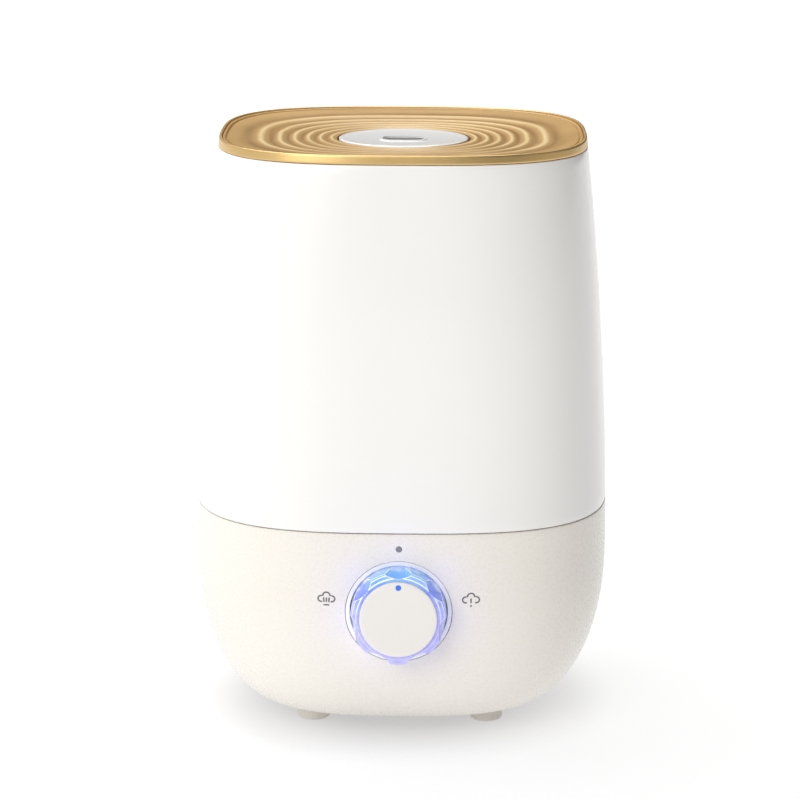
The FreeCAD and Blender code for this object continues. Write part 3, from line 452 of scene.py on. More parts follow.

# Amber acrylic over a white tray, with light and shade painted into its colour: a painted highlight
# in pale gold on each ripple's crest and painted shade in brown in the trough beside it, with streaks
# that run along the ripples.
streak_density = 5.0  # streaks to a ripple
streak_length = 1 / 22  # metres along a ripple
amber = bpy.data.materials.new("acrylic amber rippled")
amber.use_nodes = True
amber_shader = amber.node_tree.nodes["Principled BSDF"]
swell_read = add_node(amber, "ShaderNodeAttribute", attribute_name="swell")
amber_place = add_node(amber, "ShaderNodeTexCoord").outputs["Object"]
amber_cloud = add_node(amber, "ShaderNodeTexNoise", {"Vector": amber_place},
                       {"Scale": 1 / (38 * mm), "Detail": 2.0})
amber_shift = add_node(amber, "ShaderNodeMapRange", {"Value": amber_cloud.outputs["Fac"]},
                       {"To Min": -0.14, "To Max": 0.14})
amber_phase = add_node(amber, "ShaderNodeMath",
                       {0: swell_read.outputs["Fac"], 1: amber_shift.outputs["Result"]}, operation="ADD")
amber_turn = add_node(amber, "ShaderNodeMath", {0: amber_phase.outputs["Value"]}, operation="FRACT")
# painted highlight and shade: pale on each ripple's crest, brown down in its trough
ripple_light_and_shade_ramp = add_node(amber, "ShaderNodeValToRGB", {"Fac": amber_turn.outputs["Value"]})
ripple_light_and_shade_ramp.color_ramp.elements[0].color = linear("#9F7A43")
ripple_light_and_shade_ramp.color_ramp.elements[1].color = linear("#9F7A43")
for position, colour in ((0.14, "#B48E54"), (0.3, "#C7A164"), (0.44, "#F2DBA8"), (0.54, "#EBD09A"),
                         (0.66, "#C19A5E"), (0.82, "#A5804A"), (0.94, "#9B753F")):
    ripple_light_and_shade_ramp.color_ramp.elements.new(position).color = linear(colour)
amber_parts = add_node(amber, "ShaderNodeSeparateXYZ", {"Vector": amber_place})
streak_across = add_node(amber, "ShaderNodeMath", {0: swell_read.outputs["Fac"]}, {1: streak_density},
                         operation="MULTIPLY")
streak_x, streak_y = [add_node(amber, "ShaderNodeMath", {0: amber_parts.outputs[along]},
                               {1: 1 / streak_length}, operation="MULTIPLY") for along in ("X", "Y")]
streak_way = add_node(amber, "ShaderNodeCombineXYZ", {"X": streak_across.outputs["Value"],
                                                      "Y": streak_x.outputs["Value"],
                                                      "Z": streak_y.outputs["Value"]})
streak = add_node(amber, "ShaderNodeTexNoise", {"Vector": streak_way.outputs["Vector"]},
                  {"Scale": 1.0, "Detail": 3.0})
streak_fade = add_node(amber, "ShaderNodeMapRange", {"Value": streak.outputs["Fac"]},
                       {"From Min": 0.4, "From Max": 0.75, "To Min": 0.0, "To Max": 0.5})
amber_tint = add_node(amber, "ShaderNodeMix", {"Factor": streak_fade.outputs["Result"]}, data_type="RGBA")
amber.node_tree.links.new(ripple_light_and_shade_ramp.outputs["Color"], amber_tint.inputs["A"])
amber_tint.inputs["B"].default_value = linear("#C49D60")
amber.node_tree.links.new(amber_tint.outputs["Result"], amber_shader.inputs["Base Color"])
amber_gloss = add_node(amber, "ShaderNodeMapRange", {"Value": streak.outputs["Fac"]},
                       {"To Min": 0.32, "To Max": 0.44})
amber.node_tree.links.new(amber_gloss.outputs["Result"], amber_shader.inputs["Roughness"])
amber_shader.inputs["IOR"].default_value = 1.49
amber_shader.inputs["Coat Weight"].default_value = 0.1
amber_shader.inputs["Coat Roughness"].default_value = 0.12
settle(cover, "lid_amber_cover", amber, "lid", "lid_cover")

# ---------------------------------------------------------------------------------------------
# Nozzle: a shallow glossy white saucer with one lipped slot. Its spigot turns in the lid's
# collar and its duct reaches down into the mist tube.
# ---------------------------------------------------------------------------------------------
nozzle_radius = (nozzle_high.x - nozzle_low.x) / 2
nozzle_top = nozzle_high.z
nozzle_under = nozzle_top - 1.8 * mm
duct_radius = 15.5 * mm
duct_wall = 1.4 * mm
spigot_radius = 30.7 * mm
spigot_wall = 1.5 * mm
slot_half_x = 10.5 * mm
slot_half_y = 7.0 * mm
slot_corner = 5.0 * mm
slot_lip = 1.3 * mm
saucer_middle = nozzle_top - 0.8 * mm
hub_radius = 0.5 * mm
nozzle_section = [
    (hub_radius, saucer_middle), (nozzle_radius * 0.3, nozzle_top - 0.76 * mm),
    (nozzle_radius * 0.6, nozzle_top - 0.6 * mm), (nozzle_radius * 0.8, nozzle_top - 0.35 * mm),
    (nozzle_radius - 2.2 * mm, nozzle_top - 0.12 * mm), (nozzle_radius - 1.2 * mm, nozzle_top),
    (nozzle_radius - 0.5 * mm, nozzle_top - 0.05 * mm), (nozzle_radius - 0.1 * mm, nozzle_top - 0.3 * mm),
    (nozzle_radius, nozzle_top - 0.7 * mm), (nozzle_radius, nozzle_under + 0.5 * mm),
    (nozzle_radius - 0.6 * mm, nozzle_under), (spigot_radius, nozzle_under),
    (spigot_radius, nozzle_top - 11 * mm), (spigot_radius - spigot_wall, nozzle_top - 11 * mm),
    (spigot_radius - spigot_wall, nozzle_under), (duct_radius, nozzle_under),
    (duct_radius, nozzle_low.z), (duct_radius - duct_wall, nozzle_low.z),
    (duct_radius - duct_wall, nozzle_under), (hub_radius, nozzle_under)]
nozzle = ring_wall(nozzle_section, 160)


def slot_block(grow, low, high, corner):
    """Upright block with the slot's rounded outline."""
    clear_selection()
    bpy.ops.mesh.primitive_cube_add(size=1, location=(0, axis_y, (low + high) / 2))
    block = bpy.context.object
    block.scale = (2 * (slot_half_x + grow), 2 * (slot_half_y + grow), high - low)
    bpy.ops.object.transform_apply(location=True, rotation=True, scale=True)
    bpy.ops.object.mode_set(mode="EDIT")
    bpy.ops.mesh.select_mode(type="EDGE")
    bpy.ops.mesh.select_all(action="DESELECT")
    bpy.ops.object.mode_set(mode="OBJECT")
    for edge in block.data.edges:
        ends = [block.data.vertices[v].co for v in edge.vertices]
        edge.select = abs(ends[0].z - ends[1].z) > 1e-6
    bpy.ops.object.mode_set(mode="EDIT")
    bpy.ops.mesh.bevel(offset=corner, segments=10, affect="EDGES")
    bpy.ops.object.mode_set(mode="OBJECT")
    return block


lip_top = saucer_middle + 0.5 * mm
slot_skin = 0.4 * mm
combine(nozzle, slot_block(slot_lip, saucer_middle - slot_skin, lip_top, slot_corner + slot_lip), "UNION")
combine(nozzle, slot_block(0, nozzle_under - 1 * mm, nozzle_top + 2 * mm, slot_corner), "DIFFERENCE")
combine(nozzle, rod(duct_radius - duct_wall, (0, axis_y, nozzle_under - 1 * mm),
                    (0, axis_y, saucer_middle - slot_skin), 160), "DIFFERENCE")
soften(nozzle, 0.15 * mm, 3, 50)
smooth(nozzle)
gloss_white = moulded("ABS gloss pure white", "#FDFDFC", "#F9F9F8", 0.2, 2.0, 0.001, coat=0.2)
settle(nozzle, "nozzle_saucer", gloss_white, "nozzle", "nozzle_disc")

# ---------------------------------------------------------------------------------------------
# Knob seat: a white ring let into the front wall, flush with it, that hides the LED board.
# ---------------------------------------------------------------------------------------------
knob_frame = Matrix.Translation(knob_spot) @ knob_out.to_track_quat("Z", "Y").to_matrix().to_4x4()
bezel_radius = seat_radius - 0.3 * mm
bezel_bore = 24.1 * mm
bezel_deep = -11 * mm


def on_wall(piece):
    """Puts a piece made round the upright axis on the knob's axis."""
    piece.data.transform(knob_frame)
    piece.data.update()
    return piece


bezel_section = [(bezel_bore, 8 * mm), (bezel_radius, 8 * mm), (bezel_radius, bezel_deep + 2 * mm),
                 (bezel_radius + 3 * mm, bezel_deep + 2 * mm), (bezel_radius + 3 * mm, bezel_deep),
                 (3.65 * mm, bezel_deep), (3.65 * mm, bezel_deep + 2 * mm), (bezel_bore, bezel_deep + 2 * mm)]
bezel = on_wall(ring_wall(bezel_section, 160, centre_y=0))
trim_section = [(belly_half * 0.05, base_low.z)] + bowl(base_low.z, 0.15 * mm, 30)
trim_section += [(body_half(z) - 0.15 * mm, z) for z in levels(belly_z, rim_z, 8)]
trim_section += [(belly_half * 0.05, rim_z)]
trim = ring_wall(trim_section, plan_steps)
square_up(trim)
combine(bezel, trim, "INTERSECT")
soften(bezel, 0.2 * mm, 2, 50)
smooth(bezel)
settle(bezel, "knob_seat_ring", gloss_white, "base", "knob_bezel")

# ---------------------------------------------------------------------------------------------
# Knob ring: clear acrylic with seven finger flutes, pushed on the hub and lit from behind by
# blue LEDs, whose light is painted into the acrylic as a glow. The flutes deepen towards the front,
# and their edges carry a painted highlight.
# ---------------------------------------------------------------------------------------------
ring_radius = 23.5 * mm
ring_height = 10.8 * mm
ring_bore = 18.6 * mm
cap_radius = 19 * mm
flute_count = 7
flute_radius = 13 * mm
flute_depth = 2.8 * mm
flute_back = 6 * mm  # the cutters run out this far behind the wall and in front of the ring
flute_front = 4 * mm
ring_back = -5.5 * mm
ring_section = [(ring_bore, ring_back), (ring_radius + 0.1 * mm, ring_back)]
ring_section += [(ring_radius, z) for z in levels(ring_back + 1 * mm, ring_height - 1.2 * mm, 6)]
ring_section += [(ring_radius - 0.9 * mm, ring_height - 0.45 * mm),
                 (cap_radius + 1.7 * mm, ring_height - 0.3 * mm), (cap_radius + 1.3 * mm, ring_height),
                 (cap_radius + 0.2 * mm, ring_height), (ring_bore, ring_height - 0.3 * mm)]
knob_ring = ring_wall(ring_section, 30 * flute_count, centre_y=0)
lean = math.atan(flute_depth / ring_height)
flutes = []
for k in range(flute_count):
    turn = Matrix.Rotation(math.radians(90 + 360 * k / flute_count), 4, "Z")
    foot_point = Vector((ring_radius + flute_radius + flute_back * math.tan(lean), 0, -flute_back))
    head_point = Vector((ring_radius + flute_radius - flute_depth - flute_front * math.tan(lean), 0,
                         ring_height + flute_front))
    flutes.append(rod(flute_radius, turn @ foot_point, turn @ head_point, 128))
combine(knob_ring, join(flutes), "DIFFERENCE")
clear_selection()
# two material places, so that the bevel can mark its own faces with the second, which carries the
# painted edge highlight
for place in range(2):
    knob_ring.data.materials.append(tank_abs)
apply_modifier(knob_ring, "BEVEL", width=0.22 * mm, segments=2, limit_method="ANGLE",
               angle_limit=math.radians(22), use_clamp_overlap=False, material=1)
for face in knob_ring.data.polygons:
    if math.hypot(face.center.x, face.center.y) < cap_radius + 1.2 * mm or face.center.z < 0:
        face.material_index = 0
# depth along the axis: the mask for the painted glow at the back and along the front edge
depth = knob_ring.data.attributes.new("depth", "FLOAT", "POINT")
for point in knob_ring.data.vertices:
    depth.data[point.index].value = (point.co.z - ring_back) / (ring_height - ring_back)
smooth(knob_ring, 30)
on_wall(knob_ring)

# Clear acrylic with a painted blue glow for the LEDs' light: cyan near the top LED, lavender at
# the sides and bottom, and a paler painted glow at the back, where the light leaves the seat, and
# along its front edge.
lit = bpy.data.materials.new("acrylic clear blue lit")
lit.use_nodes = True
lit_shader = lit.node_tree.nodes["Principled BSDF"]
lit_place = add_node(lit, "ShaderNodeTexCoord").outputs["Object"]
lit_parts = add_node(lit, "ShaderNodeSeparateXYZ", {"Vector": lit_place})
lit_height = add_node(lit, "ShaderNodeMapRange", {"Value": lit_parts.outputs["Z"]},
                      {"From Min": knob_spot.z - ring_radius, "From Max": knob_spot.z + ring_radius})
lit_ramp = add_node(lit, "ShaderNodeValToRGB", {"Fac": lit_height.outputs["Result"]})
lit_ramp.color_ramp.elements[0].position = 0.0
lit_ramp.color_ramp.elements[0].color = linear("#A9A4DE")
lit_ramp.color_ramp.elements[1].position = 1.0
lit_ramp.color_ramp.elements[1].color = linear("#7CC4F8")
for position, colour in ((0.3, "#9F9DE4"), (0.6, "#8F98EE"), (0.78, "#6A88EC"), (0.9, "#66A6F4")):
    lit_ramp.color_ramp.elements.new(position).color = linear(colour)
lit_depth = add_node(lit, "ShaderNodeAttribute", attribute_name="depth")
# painted glow by depth: palest at the back and along the front edge
glow_depth_ramp = add_node(lit, "ShaderNodeValToRGB", {"Fac": lit_depth.outputs["Fac"]})
glow_depth_ramp.color_ramp.elements[0].color = (0.75, 0.75, 0.75, 1)
glow_depth_ramp.color_ramp.elements[1].color = (0.15, 0.15, 0.15, 1)
for position, level in ((0.45, 0.55), (0.62, 0.12), (0.9, 0.05), (0.975, 0.2)):
    glow_depth_ramp.color_ramp.elements.new(position).color = (level, level, level, 1)
lit_noise = add_node(lit, "ShaderNodeTexNoise", {"Vector": lit_place}, {"Scale": 1 / (4 * mm), "Detail": 2.0})
lit_waver = add_node(lit, "ShaderNodeMapRange", {"Value": lit_noise.outputs["Fac"]},
                     {"From Min": 0.3, "From Max": 0.7, "To Min": 0.3, "To Max": 1.9})
glow_depth_share = add_node(lit, "ShaderNodeMath", {0: glow_depth_ramp.outputs["Color"], 1: lit_waver.outputs["Result"]},
                      operation="MULTIPLY")
lit_tint = add_node(lit, "ShaderNodeMix", {"Factor": glow_depth_share.outputs["Value"]}, data_type="RGBA")
lit.node_tree.links.new(lit_ramp.outputs["Color"], lit_tint.inputs["A"])
lit_tint.inputs["B"].default_value = linear("#DDE6FF")
# painted glow: the ring emits a blue light of its own
lit_power = add_node(lit, "ShaderNodeMapRange", {"Value": lit_noise.outputs["Fac"]},
                     {"To Min": 0.15, "To Max": 0.24})
lit.node_tree.links.new(lit_tint.outputs["Result"], lit_shader.inputs["Base Color"])
lit.node_tree.links.new(lit_tint.outputs["Result"], lit_shader.inputs["Emission Color"])
lit.node_tree.links.new(lit_power.outputs["Result"], lit_shader.inputs["Emission Strength"])
lit_shader.inputs["Roughness"].default_value = 0.12
lit_shader.inputs["IOR"].default_value = 1.49
lit_shader.inputs["Coat Weight"].default_value = 0.3
# The polished edges of the flutes carry a painted highlight: a nearly white painted glow for the
# LEDs' light that they gather.
edge_lit = moulded("acrylic polished edge lit", "#F2F8FF", "#E6F0FF", 0.1, 2.0, 0.001, ior=1.49)
edge_shader = edge_lit.node_tree.nodes["Principled BSDF"]
edge_parts = add_node(edge_lit, "ShaderNodeSeparateXYZ",
                      {"Vector": add_node(edge_lit, "ShaderNodeTexCoord").outputs["Object"]})
edge_height = add_node(edge_lit, "ShaderNodeMapRange", {"Value": edge_parts.outputs["Z"]},
                       {"From Min": knob_spot.z - ring_radius, "From Max": knob_spot.z + ring_radius})
# painted highlight: the flute edges glow from lavender low down to nearly white at the top
edge_highlight_ramp = add_node(edge_lit, "ShaderNodeValToRGB", {"Fac": edge_height.outputs["Result"]})
edge_highlight_ramp.color_ramp.elements[0].color = linear("#B9B6EC")
edge_highlight_ramp.color_ramp.elements[1].color = linear("#F6FBFF")
edge_highlight_ramp.color_ramp.elements.new(0.5).color = linear("#CDD0F8")
edge_highlight_ramp.color_ramp.elements.new(0.7).color = linear("#EDF3FF")
edge_lit.node_tree.links.new(edge_highlight_ramp.outputs["Color"], edge_shader.inputs["Base Color"])
edge_lit.node_tree.links.new(edge_highlight_ramp.outputs["Color"], edge_shader.inputs["Emission Color"])
edge_shader.inputs["Emission Strength"].default_value = 0.22
settle(knob_ring, "knob_lit_ring", lit, "knob", "knob_ring", edge_lit)

# ---------------------------------------------------------------------------------------------
# Knob cap: a slightly domed disc of fine matt ABS with a softened rim and a blue pointer dot.
# ---------------------------------------------------------------------------------------------
knob_height = 12 * mm
cap_thickness = 2.8 * mm
dot_radius = 1.45 * mm
dot_reach = 16.2 * mm
cap_low = knob_height - cap_thickness
cap_section = [(ring_bore * 0.5, cap_low), (ring_bore - 0.1 * mm, cap_low),
               (ring_bore - 0.1 * mm, ring_height), (cap_radius, ring_height),
               (cap_radius, knob_height - 0.65 * mm), (cap_radius - 0.15 * mm, knob_height - 0.3 * mm),
               (cap_radius - 0.45 * mm, knob_height - 0.12 * mm),
               (cap_radius - 0.9 * mm, knob_height - 0.06 * mm), (cap_radius * 0.8, knob_height - 0.02 * mm),
               (cap_radius * 0.5, knob_height)]
cap = ring_wall(cap_section, 160, centre_y=0, solid=True)
combine(cap, rod(dot_radius, (0, dot_reach, cap_low + 0.8 * mm), (0, dot_reach, knob_height + 2 * mm), 40),
        "DIFFERENCE")
smooth(cap)
on_wall(cap)
cream = moulded("ABS fine matt cream", "#F4F1EC", "#EFECE6", 0.42, 0.5, 0.003)
settle(cap, "knob_cream_cap", cream, "knob", "knob_cap")

dot = rod(dot_radius, (0, dot_reach, cap_low + 0.8 * mm), (0, dot_reach, knob_height - 0.05 * mm), 40)
soften(dot, 0.15 * mm, 2, 50)
smooth(dot)
on_wall(dot)
pointer_blue_glowing = moulded("acrylic blue inlay", "#2F6BD8", "#2A5FC4", 0.2, 0.8, 0.002)
# painted glow: the pointer dot emits a faint blue light of its own
pointer_blue_glowing.node_tree.nodes["Principled BSDF"].inputs["Emission Color"].default_value = linear("#2F6BD8")
pointer_blue_glowing.node_tree.nodes["Principled BSDF"].inputs["Emission Strength"].default_value = 0.35
settle(dot, "knob_pointer_dot", pointer_blue_glowing, "knob", "knob_dot")

# ---------------------------------------------------------------------------------------------
# Low-water light: a short smoked light pipe pushed into a hole above the knob.
# ---------------------------------------------------------------------------------------------
lens = rod(lens_radius, (0, lens_low.y, lens_z), (0, lens_high.y, lens_z), 40)
soften(lens, 0.25 * mm, 3, 50)
smooth(lens)
smoked = moulded("acrylic smoked grey", "#8A8A8E", "#7C7C81", 0.18, 0.8, 0.002)
settle(lens, "low_water_lens", smoked, "base", "indicator_lens")

# ---------------------------------------------------------------------------------------------
# Printed marks: two mist symbols in dark grey ink beside the knob, little mist to the left and
# much mist to the right. Each is a thin film that follows the wall.
# ---------------------------------------------------------------------------------------------
mark_reach = 35.4 * mm
mark_z = 79.4 * mm
ink_width = 0.68 * mm
ink_film = 0.07 * mm
ink_root = 0.2 * mm
ink_half = ink_width / 2
cloud_side = 2.6 * mm
cloud_rows = ((0, 1.7 * mm, 1.75 * mm), (-cloud_side, 0.1 * mm, 1.5 * mm), (cloud_side, 0.1 * mm, 1.5 * mm))
cloud_foot = -1.4 * mm
cloud_gap = 2.35 * mm
ink = moulded("ink dark warm grey", "#68636C", "#5F5A63", 0.5, 0.4, 0.001)


def film_bar(x0, x1, y0, y1, half_depth):
    """Flat-lying block whose top and bottom become the ink's front and back."""
    clear_selection()
    bpy.ops.mesh.primitive_cube_add(size=1, location=((x0 + x1) / 2, (y0 + y1) / 2, 0))
    bar = bpy.context.object
    bar.scale = (x1 - x0, y1 - y0, 2 * half_depth)
    bpy.ops.object.transform_apply(location=True, rotation=True, scale=True)
    return bar


def film_dot(x, y, radius, half_depth):
    return rod(radius, (x, y, -half_depth), (x, y, half_depth), 40)


def film_stroke(x0, y0, x1, y1, width):
    """A straight stroke with round ends."""
    length = math.hypot(x1 - x0, y1 - y0)
    bar = film_bar(0, length, -width / 2, width / 2, mm / 2)
    turn = Matrix.Translation((x0, y0, 0)) @ Matrix.Rotation(math.atan2(y1 - y0, x1 - x0), 4, "Z")
    bar.data.transform(turn)
    for x, y in ((x0, y0), (x1, y1)):
        combine(bar, film_dot(x, y, width / 2, mm / 2), "UNION")
    return bar


def cloud(grow, half_depth):
    shape = film_bar(-cloud_side, cloud_side, cloud_foot - grow, 1.5 * mm, half_depth)
    for x, y, radius in cloud_rows:
        combine(shape, film_dot(x, y, radius + grow, half_depth), "UNION")
    return shape


def mist_mark():
    """Cloud outline, open at its foot."""
    outline = cloud(ink_half, mm / 2)
    combine(outline, cloud(-ink_half, mm), "DIFFERENCE")
    combine(outline, film_bar(-cloud_gap, cloud_gap, -3 * mm, -0.6 * mm, mm), "DIFFERENCE")
    for side in (-1, 1):
        combine(outline, film_dot(side * cloud_gap, cloud_foot - 0.03 * mm, ink_half, mm / 2), "UNION")
    return outline


def print_on_wall(mark, middle_x, name):
    """Bends a flat mark round the front wall and makes it a film."""
    bpy.context.view_layer.objects.active = mark
    bpy.ops.object.mode_set(mode="EDIT")
    for cut in levels(-4.5 * mm, 4.5 * mm, 9):
        bpy.ops.mesh.select_all(action="SELECT")
        bpy.ops.mesh.bisect(plane_co=(cut, 0, 0), plane_no=(1, 0, 0))
    bpy.ops.object.mode_set(mode="OBJECT")
    for point in mark.data.vertices:
        x = middle_x + point.co.x
        z = mark_z + point.co.y
        half = body_half(z)
        wall_y = axis_y - half * (1 - abs(x / half) ** plan_power) ** (1 / plan_power)
        point.co = (x, wall_y - ink_film if point.co.z > 0 else wall_y + ink_root, z)
    bpy.ops.object.mode_set(mode="EDIT")
    bpy.ops.mesh.select_all(action="SELECT")
    bpy.ops.mesh.normals_make_consistent(inside=False)
    bpy.ops.object.mode_set(mode="OBJECT")
    settle(mark, name, ink, "base")


low_mark = mist_mark()
strokes = [film_stroke(side * 1.36 * mm, 0.45 * mm, side * 1.2 * mm, -1.4 * mm, ink_width)
           for side in (-1, 0, 1)]
strokes.append(film_stroke(-1.15 * mm, -3.1 * mm, 1.15 * mm, -3.1 * mm, ink_width))
low_mark = join([low_mark] + strokes)
print_on_wall(low_mark, -mark_reach, "mark_left")

high_mark = mist_mark()
strokes = [film_stroke(0, 0.5 * mm, 0, -1.4 * mm, ink_width), film_dot(0, -3.1 * mm, 0.45 * mm, mm / 2)]
high_mark = join([high_mark] + strokes)
print_on_wall(high_mark, mark_reach, "mark_right")

# ---------------------------------------------------------------------------------------------
# Inside and underneath: the parts whose shape comes straight from the frame, in their finishes.
# ---------------------------------------------------------------------------------------------
inner_abs = moulded("ABS moulded inner white", "#EFEEEA", "#E6E5E0", 0.38, 0.9, 0.01)
clear_silicone = moulded("silicone seal translucent", "#D9DAD8", "#CFD0CE", 0.45, 0.7, 0.008)
zinc = moulded("steel zinc plated", "#C4C6CB", "#B2B4BA", 0.3, 0.3, 0.004, ior=1.5, metallic=1.0)
nickel = moulded("brass nickel plated disc", "#D3CFC6", "#C5C0B6", 0.25, 0.5, 0.003, ior=1.5, metallic=1.0)
aluminium = moulded("aluminium machined", "#CFD1D4", "#C3C5C9", 0.32, 0.4, 0.006, ior=1.5, metallic=1.0)
black_anodised = moulded("aluminium black anodised", "#3C3D40", "#313235", 0.45, 0.4, 0.006, metallic=0.8)
board_green = moulded("glass epoxy green mask", "#1F6B3A", "#17542D", 0.3, 1.2, 0.02)
sleeve = moulded("PVC sleeve dark blue", "#20284A", "#191F3C", 0.35, 0.8, 0.004)
copper = moulded("copper enamelled winding", "#B8703A", "#9C5A2B", 0.35, 0.5, 0.05, metallic=0.9)
black_pbt = moulded("PBT glass filled black", "#232326", "#1B1B1D", 0.5, 0.35, 0.01)
float_pp = moulded("polypropylene cream float", "#EFE7D2", "#E6DCC4", 0.5, 0.6, 0.01)
ferrite = moulded("ferrite sintered grey", "#3A3A3C", "#2E2E30", 0.6, 0.5, 0.02)
epoxy_blue = moulded("epoxy blue LED", "#6E97FF", "#5C86F5", 0.2, 0.6, 0.002)
pressed_steel = moulded("steel pressed tinned", "#BFC0C2", "#AFB0B3", 0.35, 0.4, 0.006, metallic=1.0)
brass = moulded("brass turned", "#D0AE62", "#BF9B50", 0.28, 0.3, 0.005, metallic=1.0)
acetal = moulded("acetal natural white", "#E3E5E6", "#D7DADB", 0.35, 0.8, 0.005)
spring_steel = moulded("steel stainless wire", "#C9CACC", "#BCBDC0", 0.25, 0.3, 0.004, metallic=1.0)
reed_glass = moulded("glass reed tube", "#BFE3D2", "#B2D8C6", 0.1, 0.8, 0.001)
reed_glass.node_tree.nodes["Principled BSDF"].inputs["Transmission Weight"].default_value = 0.6
finishes = {
    inner_abs: ("bottom_plate", "basin_deck", "air_duct", "float_cap", "knob_core", "tank_floor", "tube_nut",
                "valve_cap", "lid_frame", "splash_guard", "mist_tube"),
    clear_silicone: ("deck_gasket", "transducer_seal", "tube_seal", "valve_seal", "lid_seal"),
    zinc: ("plate_screws", "case_screws", "clamp_screws", "board_screws", "fan_screws", "bezel_screws",
           "fan_shaft", "pot_shaft"),
    nickel: ("transducer_disc",),
    aluminium: ("transducer_clamp",),
    black_anodised: ("heat_sink",),
    board_green: ("driver_board", "led_board"),
    sleeve: ("capacitors",),
    copper: ("coil", "fan_stator"),
    black_pbt: ("fan_housing", "fan_rotor", "dc_inlet"),
    float_pp: ("float_ring",),
    ferrite: ("float_magnet",),
    epoxy_blue: ("blue_leds", "indicator_led"),
    pressed_steel: ("potentiometer",),
    brass: ("pot_nut",),
    acetal: ("valve_stem",),
    spring_steel: ("valve_spring",),
    reed_glass: ("reed_switch",),
}
for material, names in finishes.items():
    for name in names:
        node = frame["nodes"][name]
        node.data.materials.clear()
        node.data.materials.append(material)

# ---------------------------------------------------------------------------------------------
# Floor, light and camera.
# ---------------------------------------------------------------------------------------------
clear_selection()
bpy.ops.mesh.primitive_plane_add(size=12, location=(0, 0, 0))
floor = bpy.context.object
floor.name = "floor"
floor_white = moulded("floor matt white", "#7E7D7D", "#7A7979", 0.8, 4.0, 0.002)
floor_shader = floor_white.node_tree.nodes["Principled BSDF"]
floor_place = add_node(floor_white, "ShaderNodeTexCoord").outputs["Object"]
floor_reach = add_node(floor_white, "ShaderNodeVectorMath", {0: floor_place}, operation="LENGTH")
# painted shade: the floor's glow is lower close to the object, a painted contact shadow round its foot
floor_glow_and_contact_shade = add_node(floor_white, "ShaderNodeMapRange", {"Value": floor_reach.outputs["Value"]},
                      {"From Min": 0.045, "From Max": 0.12, "To Min": 0.46, "To Max": 0.83},
                      interpolation_type="SMOOTHSTEP")
floor_far = add_node(floor_white, "ShaderNodeMapRange", {"Value": floor_reach.outputs["Value"]},
                     {"From Min": 0.25, "From Max": 1.0, "To Min": 0.0, "To Max": 0.22})
floor_glow = add_node(floor_white, "ShaderNodeMath",
                      {0: floor_glow_and_contact_shade.outputs["Result"], 1: floor_far.outputs["Result"]}, operation="ADD")
floor_white.node_tree.links.new(floor_glow.outputs["Value"], floor_shader.inputs["Emission Strength"])
floor_shader.inputs["Emission Color"].default_value = linear("#FFFFFF")
floor_shader.inputs["Specular IOR Level"].default_value = 0.1
floor_white.cycles.emission_sampling = "NONE"
floor.data.materials.append(floor_white)

bpy.context.scene.view_settings.view_transform = "Standard"
world = bpy.data.worlds.new("studio")
bpy.context.scene.world = world
world.use_nodes = True
sky = world.node_tree
sky.nodes.clear()
way = sky.nodes.new("ShaderNodeTexCoord")
split = sky.nodes.new("ShaderNodeSeparateXYZ")
side = sky.nodes.new("ShaderNodeValToRGB")
shift = sky.nodes.new("ShaderNodeMapRange")
shift.inputs["From Min"].default_value = -1
shift.inputs["From Max"].default_value = 1
glow = sky.nodes.new("ShaderNodeBackground")
out = sky.nodes.new("ShaderNodeOutputWorld")
sky.links.new(way.outputs["Generated"], split.inputs["Vector"])
sky.links.new(split.outputs["X"], shift.inputs["Value"])
sky.links.new(shift.outputs["Result"], side.inputs["Fac"])
side.color_ramp.elements[0].color = (0.68, 0.68, 0.68, 1)
side.color_ramp.elements[1].color = (0.34, 0.31, 0.28, 1)
for position, level in ((0.22, 0.68), (0.42, 0.03), (0.88, 0.01)):
    side.color_ramp.elements.new(position).color = (level, level * 0.985, level * 0.96, 1)
sky.links.new(side.outputs["Color"], glow.inputs["Color"])
sky.links.new(glow.outputs["Background"], out.inputs["Surface"])


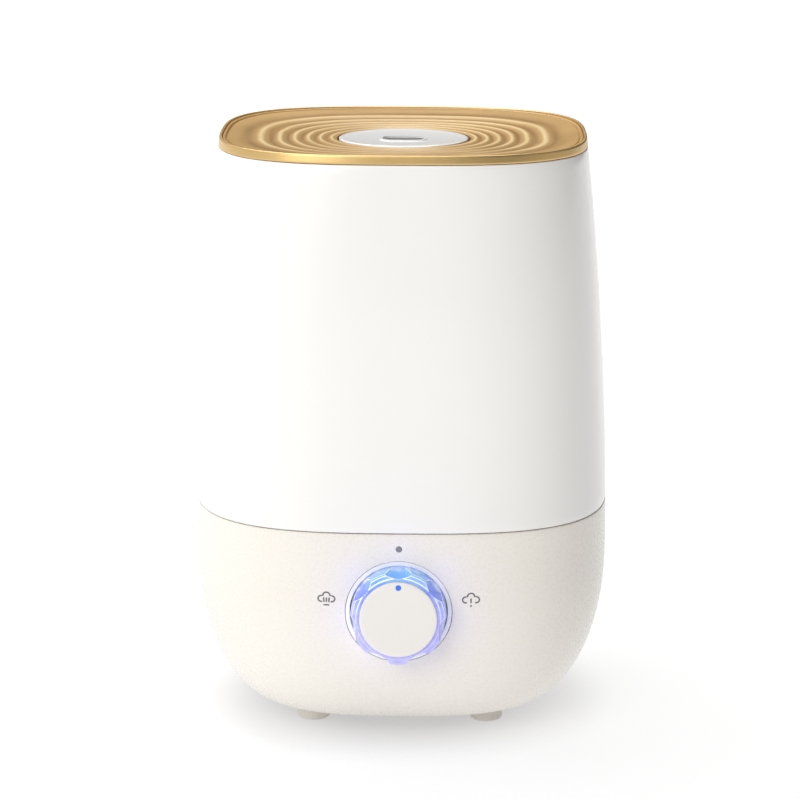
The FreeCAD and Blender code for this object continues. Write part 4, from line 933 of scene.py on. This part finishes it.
def softbox(name, place, aim, width, height, watts, colour):
    clear_selection()
    bpy.ops.object.light_add(type="AREA", location=place)
    lamp = bpy.context.object
    lamp.name = name
    lamp.data.shape = "RECTANGLE"
    lamp.data.size = width
    lamp.data.size_y = height
    lamp.data.energy = watts
    lamp.data.color = linear(colour)[:3]
    lamp.rotation_mode = "QUATERNION"
    lamp.rotation_quaternion = (Vector(aim) - Vector(place)).to_track_quat("-Z", "Y")
    return lamp


softbox("key", (-0.84, -1.45, 1.04), (0, 0, 0.15), 1.1, 1.1, 12.5, "#FFFDFB")
softbox("front", (-0.22, -1.54, 1.24), (0, 0, 0.15), 1.1, 1.1, 4.5, "#FFFFFF")
softbox("top", (-0.25, 0.6, 1.6), (0, 0, 0.2), 1.4, 1.4, 27, "#FFFFFF")

# weak blue lamps round the knob, for the light that the ring throws on the wall
glow_reach = 30 * mm
glow_out = 13 * mm
for k in range(flute_count):
    turn = math.radians(90 + 360 * k / flute_count)
    spot = knob_frame @ Vector((glow_reach * math.cos(turn), glow_reach * math.sin(turn), glow_out))
    bpy.ops.object.light_add(type="POINT", location=spot)
    lamp = bpy.context.object
    lamp.name = "ring_glow_%d" % k
    lamp.data.energy = 0.0009
    lamp.data.color = linear("#5A5CFF")[:3]
    lamp.data.shadow_soft_size = 6 * mm
    lamp.visible_camera = False

view_distance = 1558.8 * mm
view_rise = math.radians(12.936)
view_turn = math.radians(0.892)
view_roll = math.radians(0.224)
aim_x = -1.59 * mm
aim_z = 156.0 * mm
bpy.ops.object.camera_add()
camera = bpy.context.object
camera.data.lens = 135.84
camera.data.sensor_width = 36
look = Matrix.Rotation(view_turn, 4, "Z") @ Matrix.Translation(
    (aim_x, -view_distance * math.cos(view_rise), aim_z + view_distance * math.sin(view_rise)))
tilt_down = Matrix.Rotation(math.pi / 2 - view_rise, 4, "X") @ Matrix.Rotation(view_roll, 4, "Z")
camera.matrix_world = Matrix.Translation((0, axis_y, 0)) @ look @ tilt_down
camera.data.clip_start = 0.1
camera.data.clip_end = 50
bpy.context.scene.camera = camera
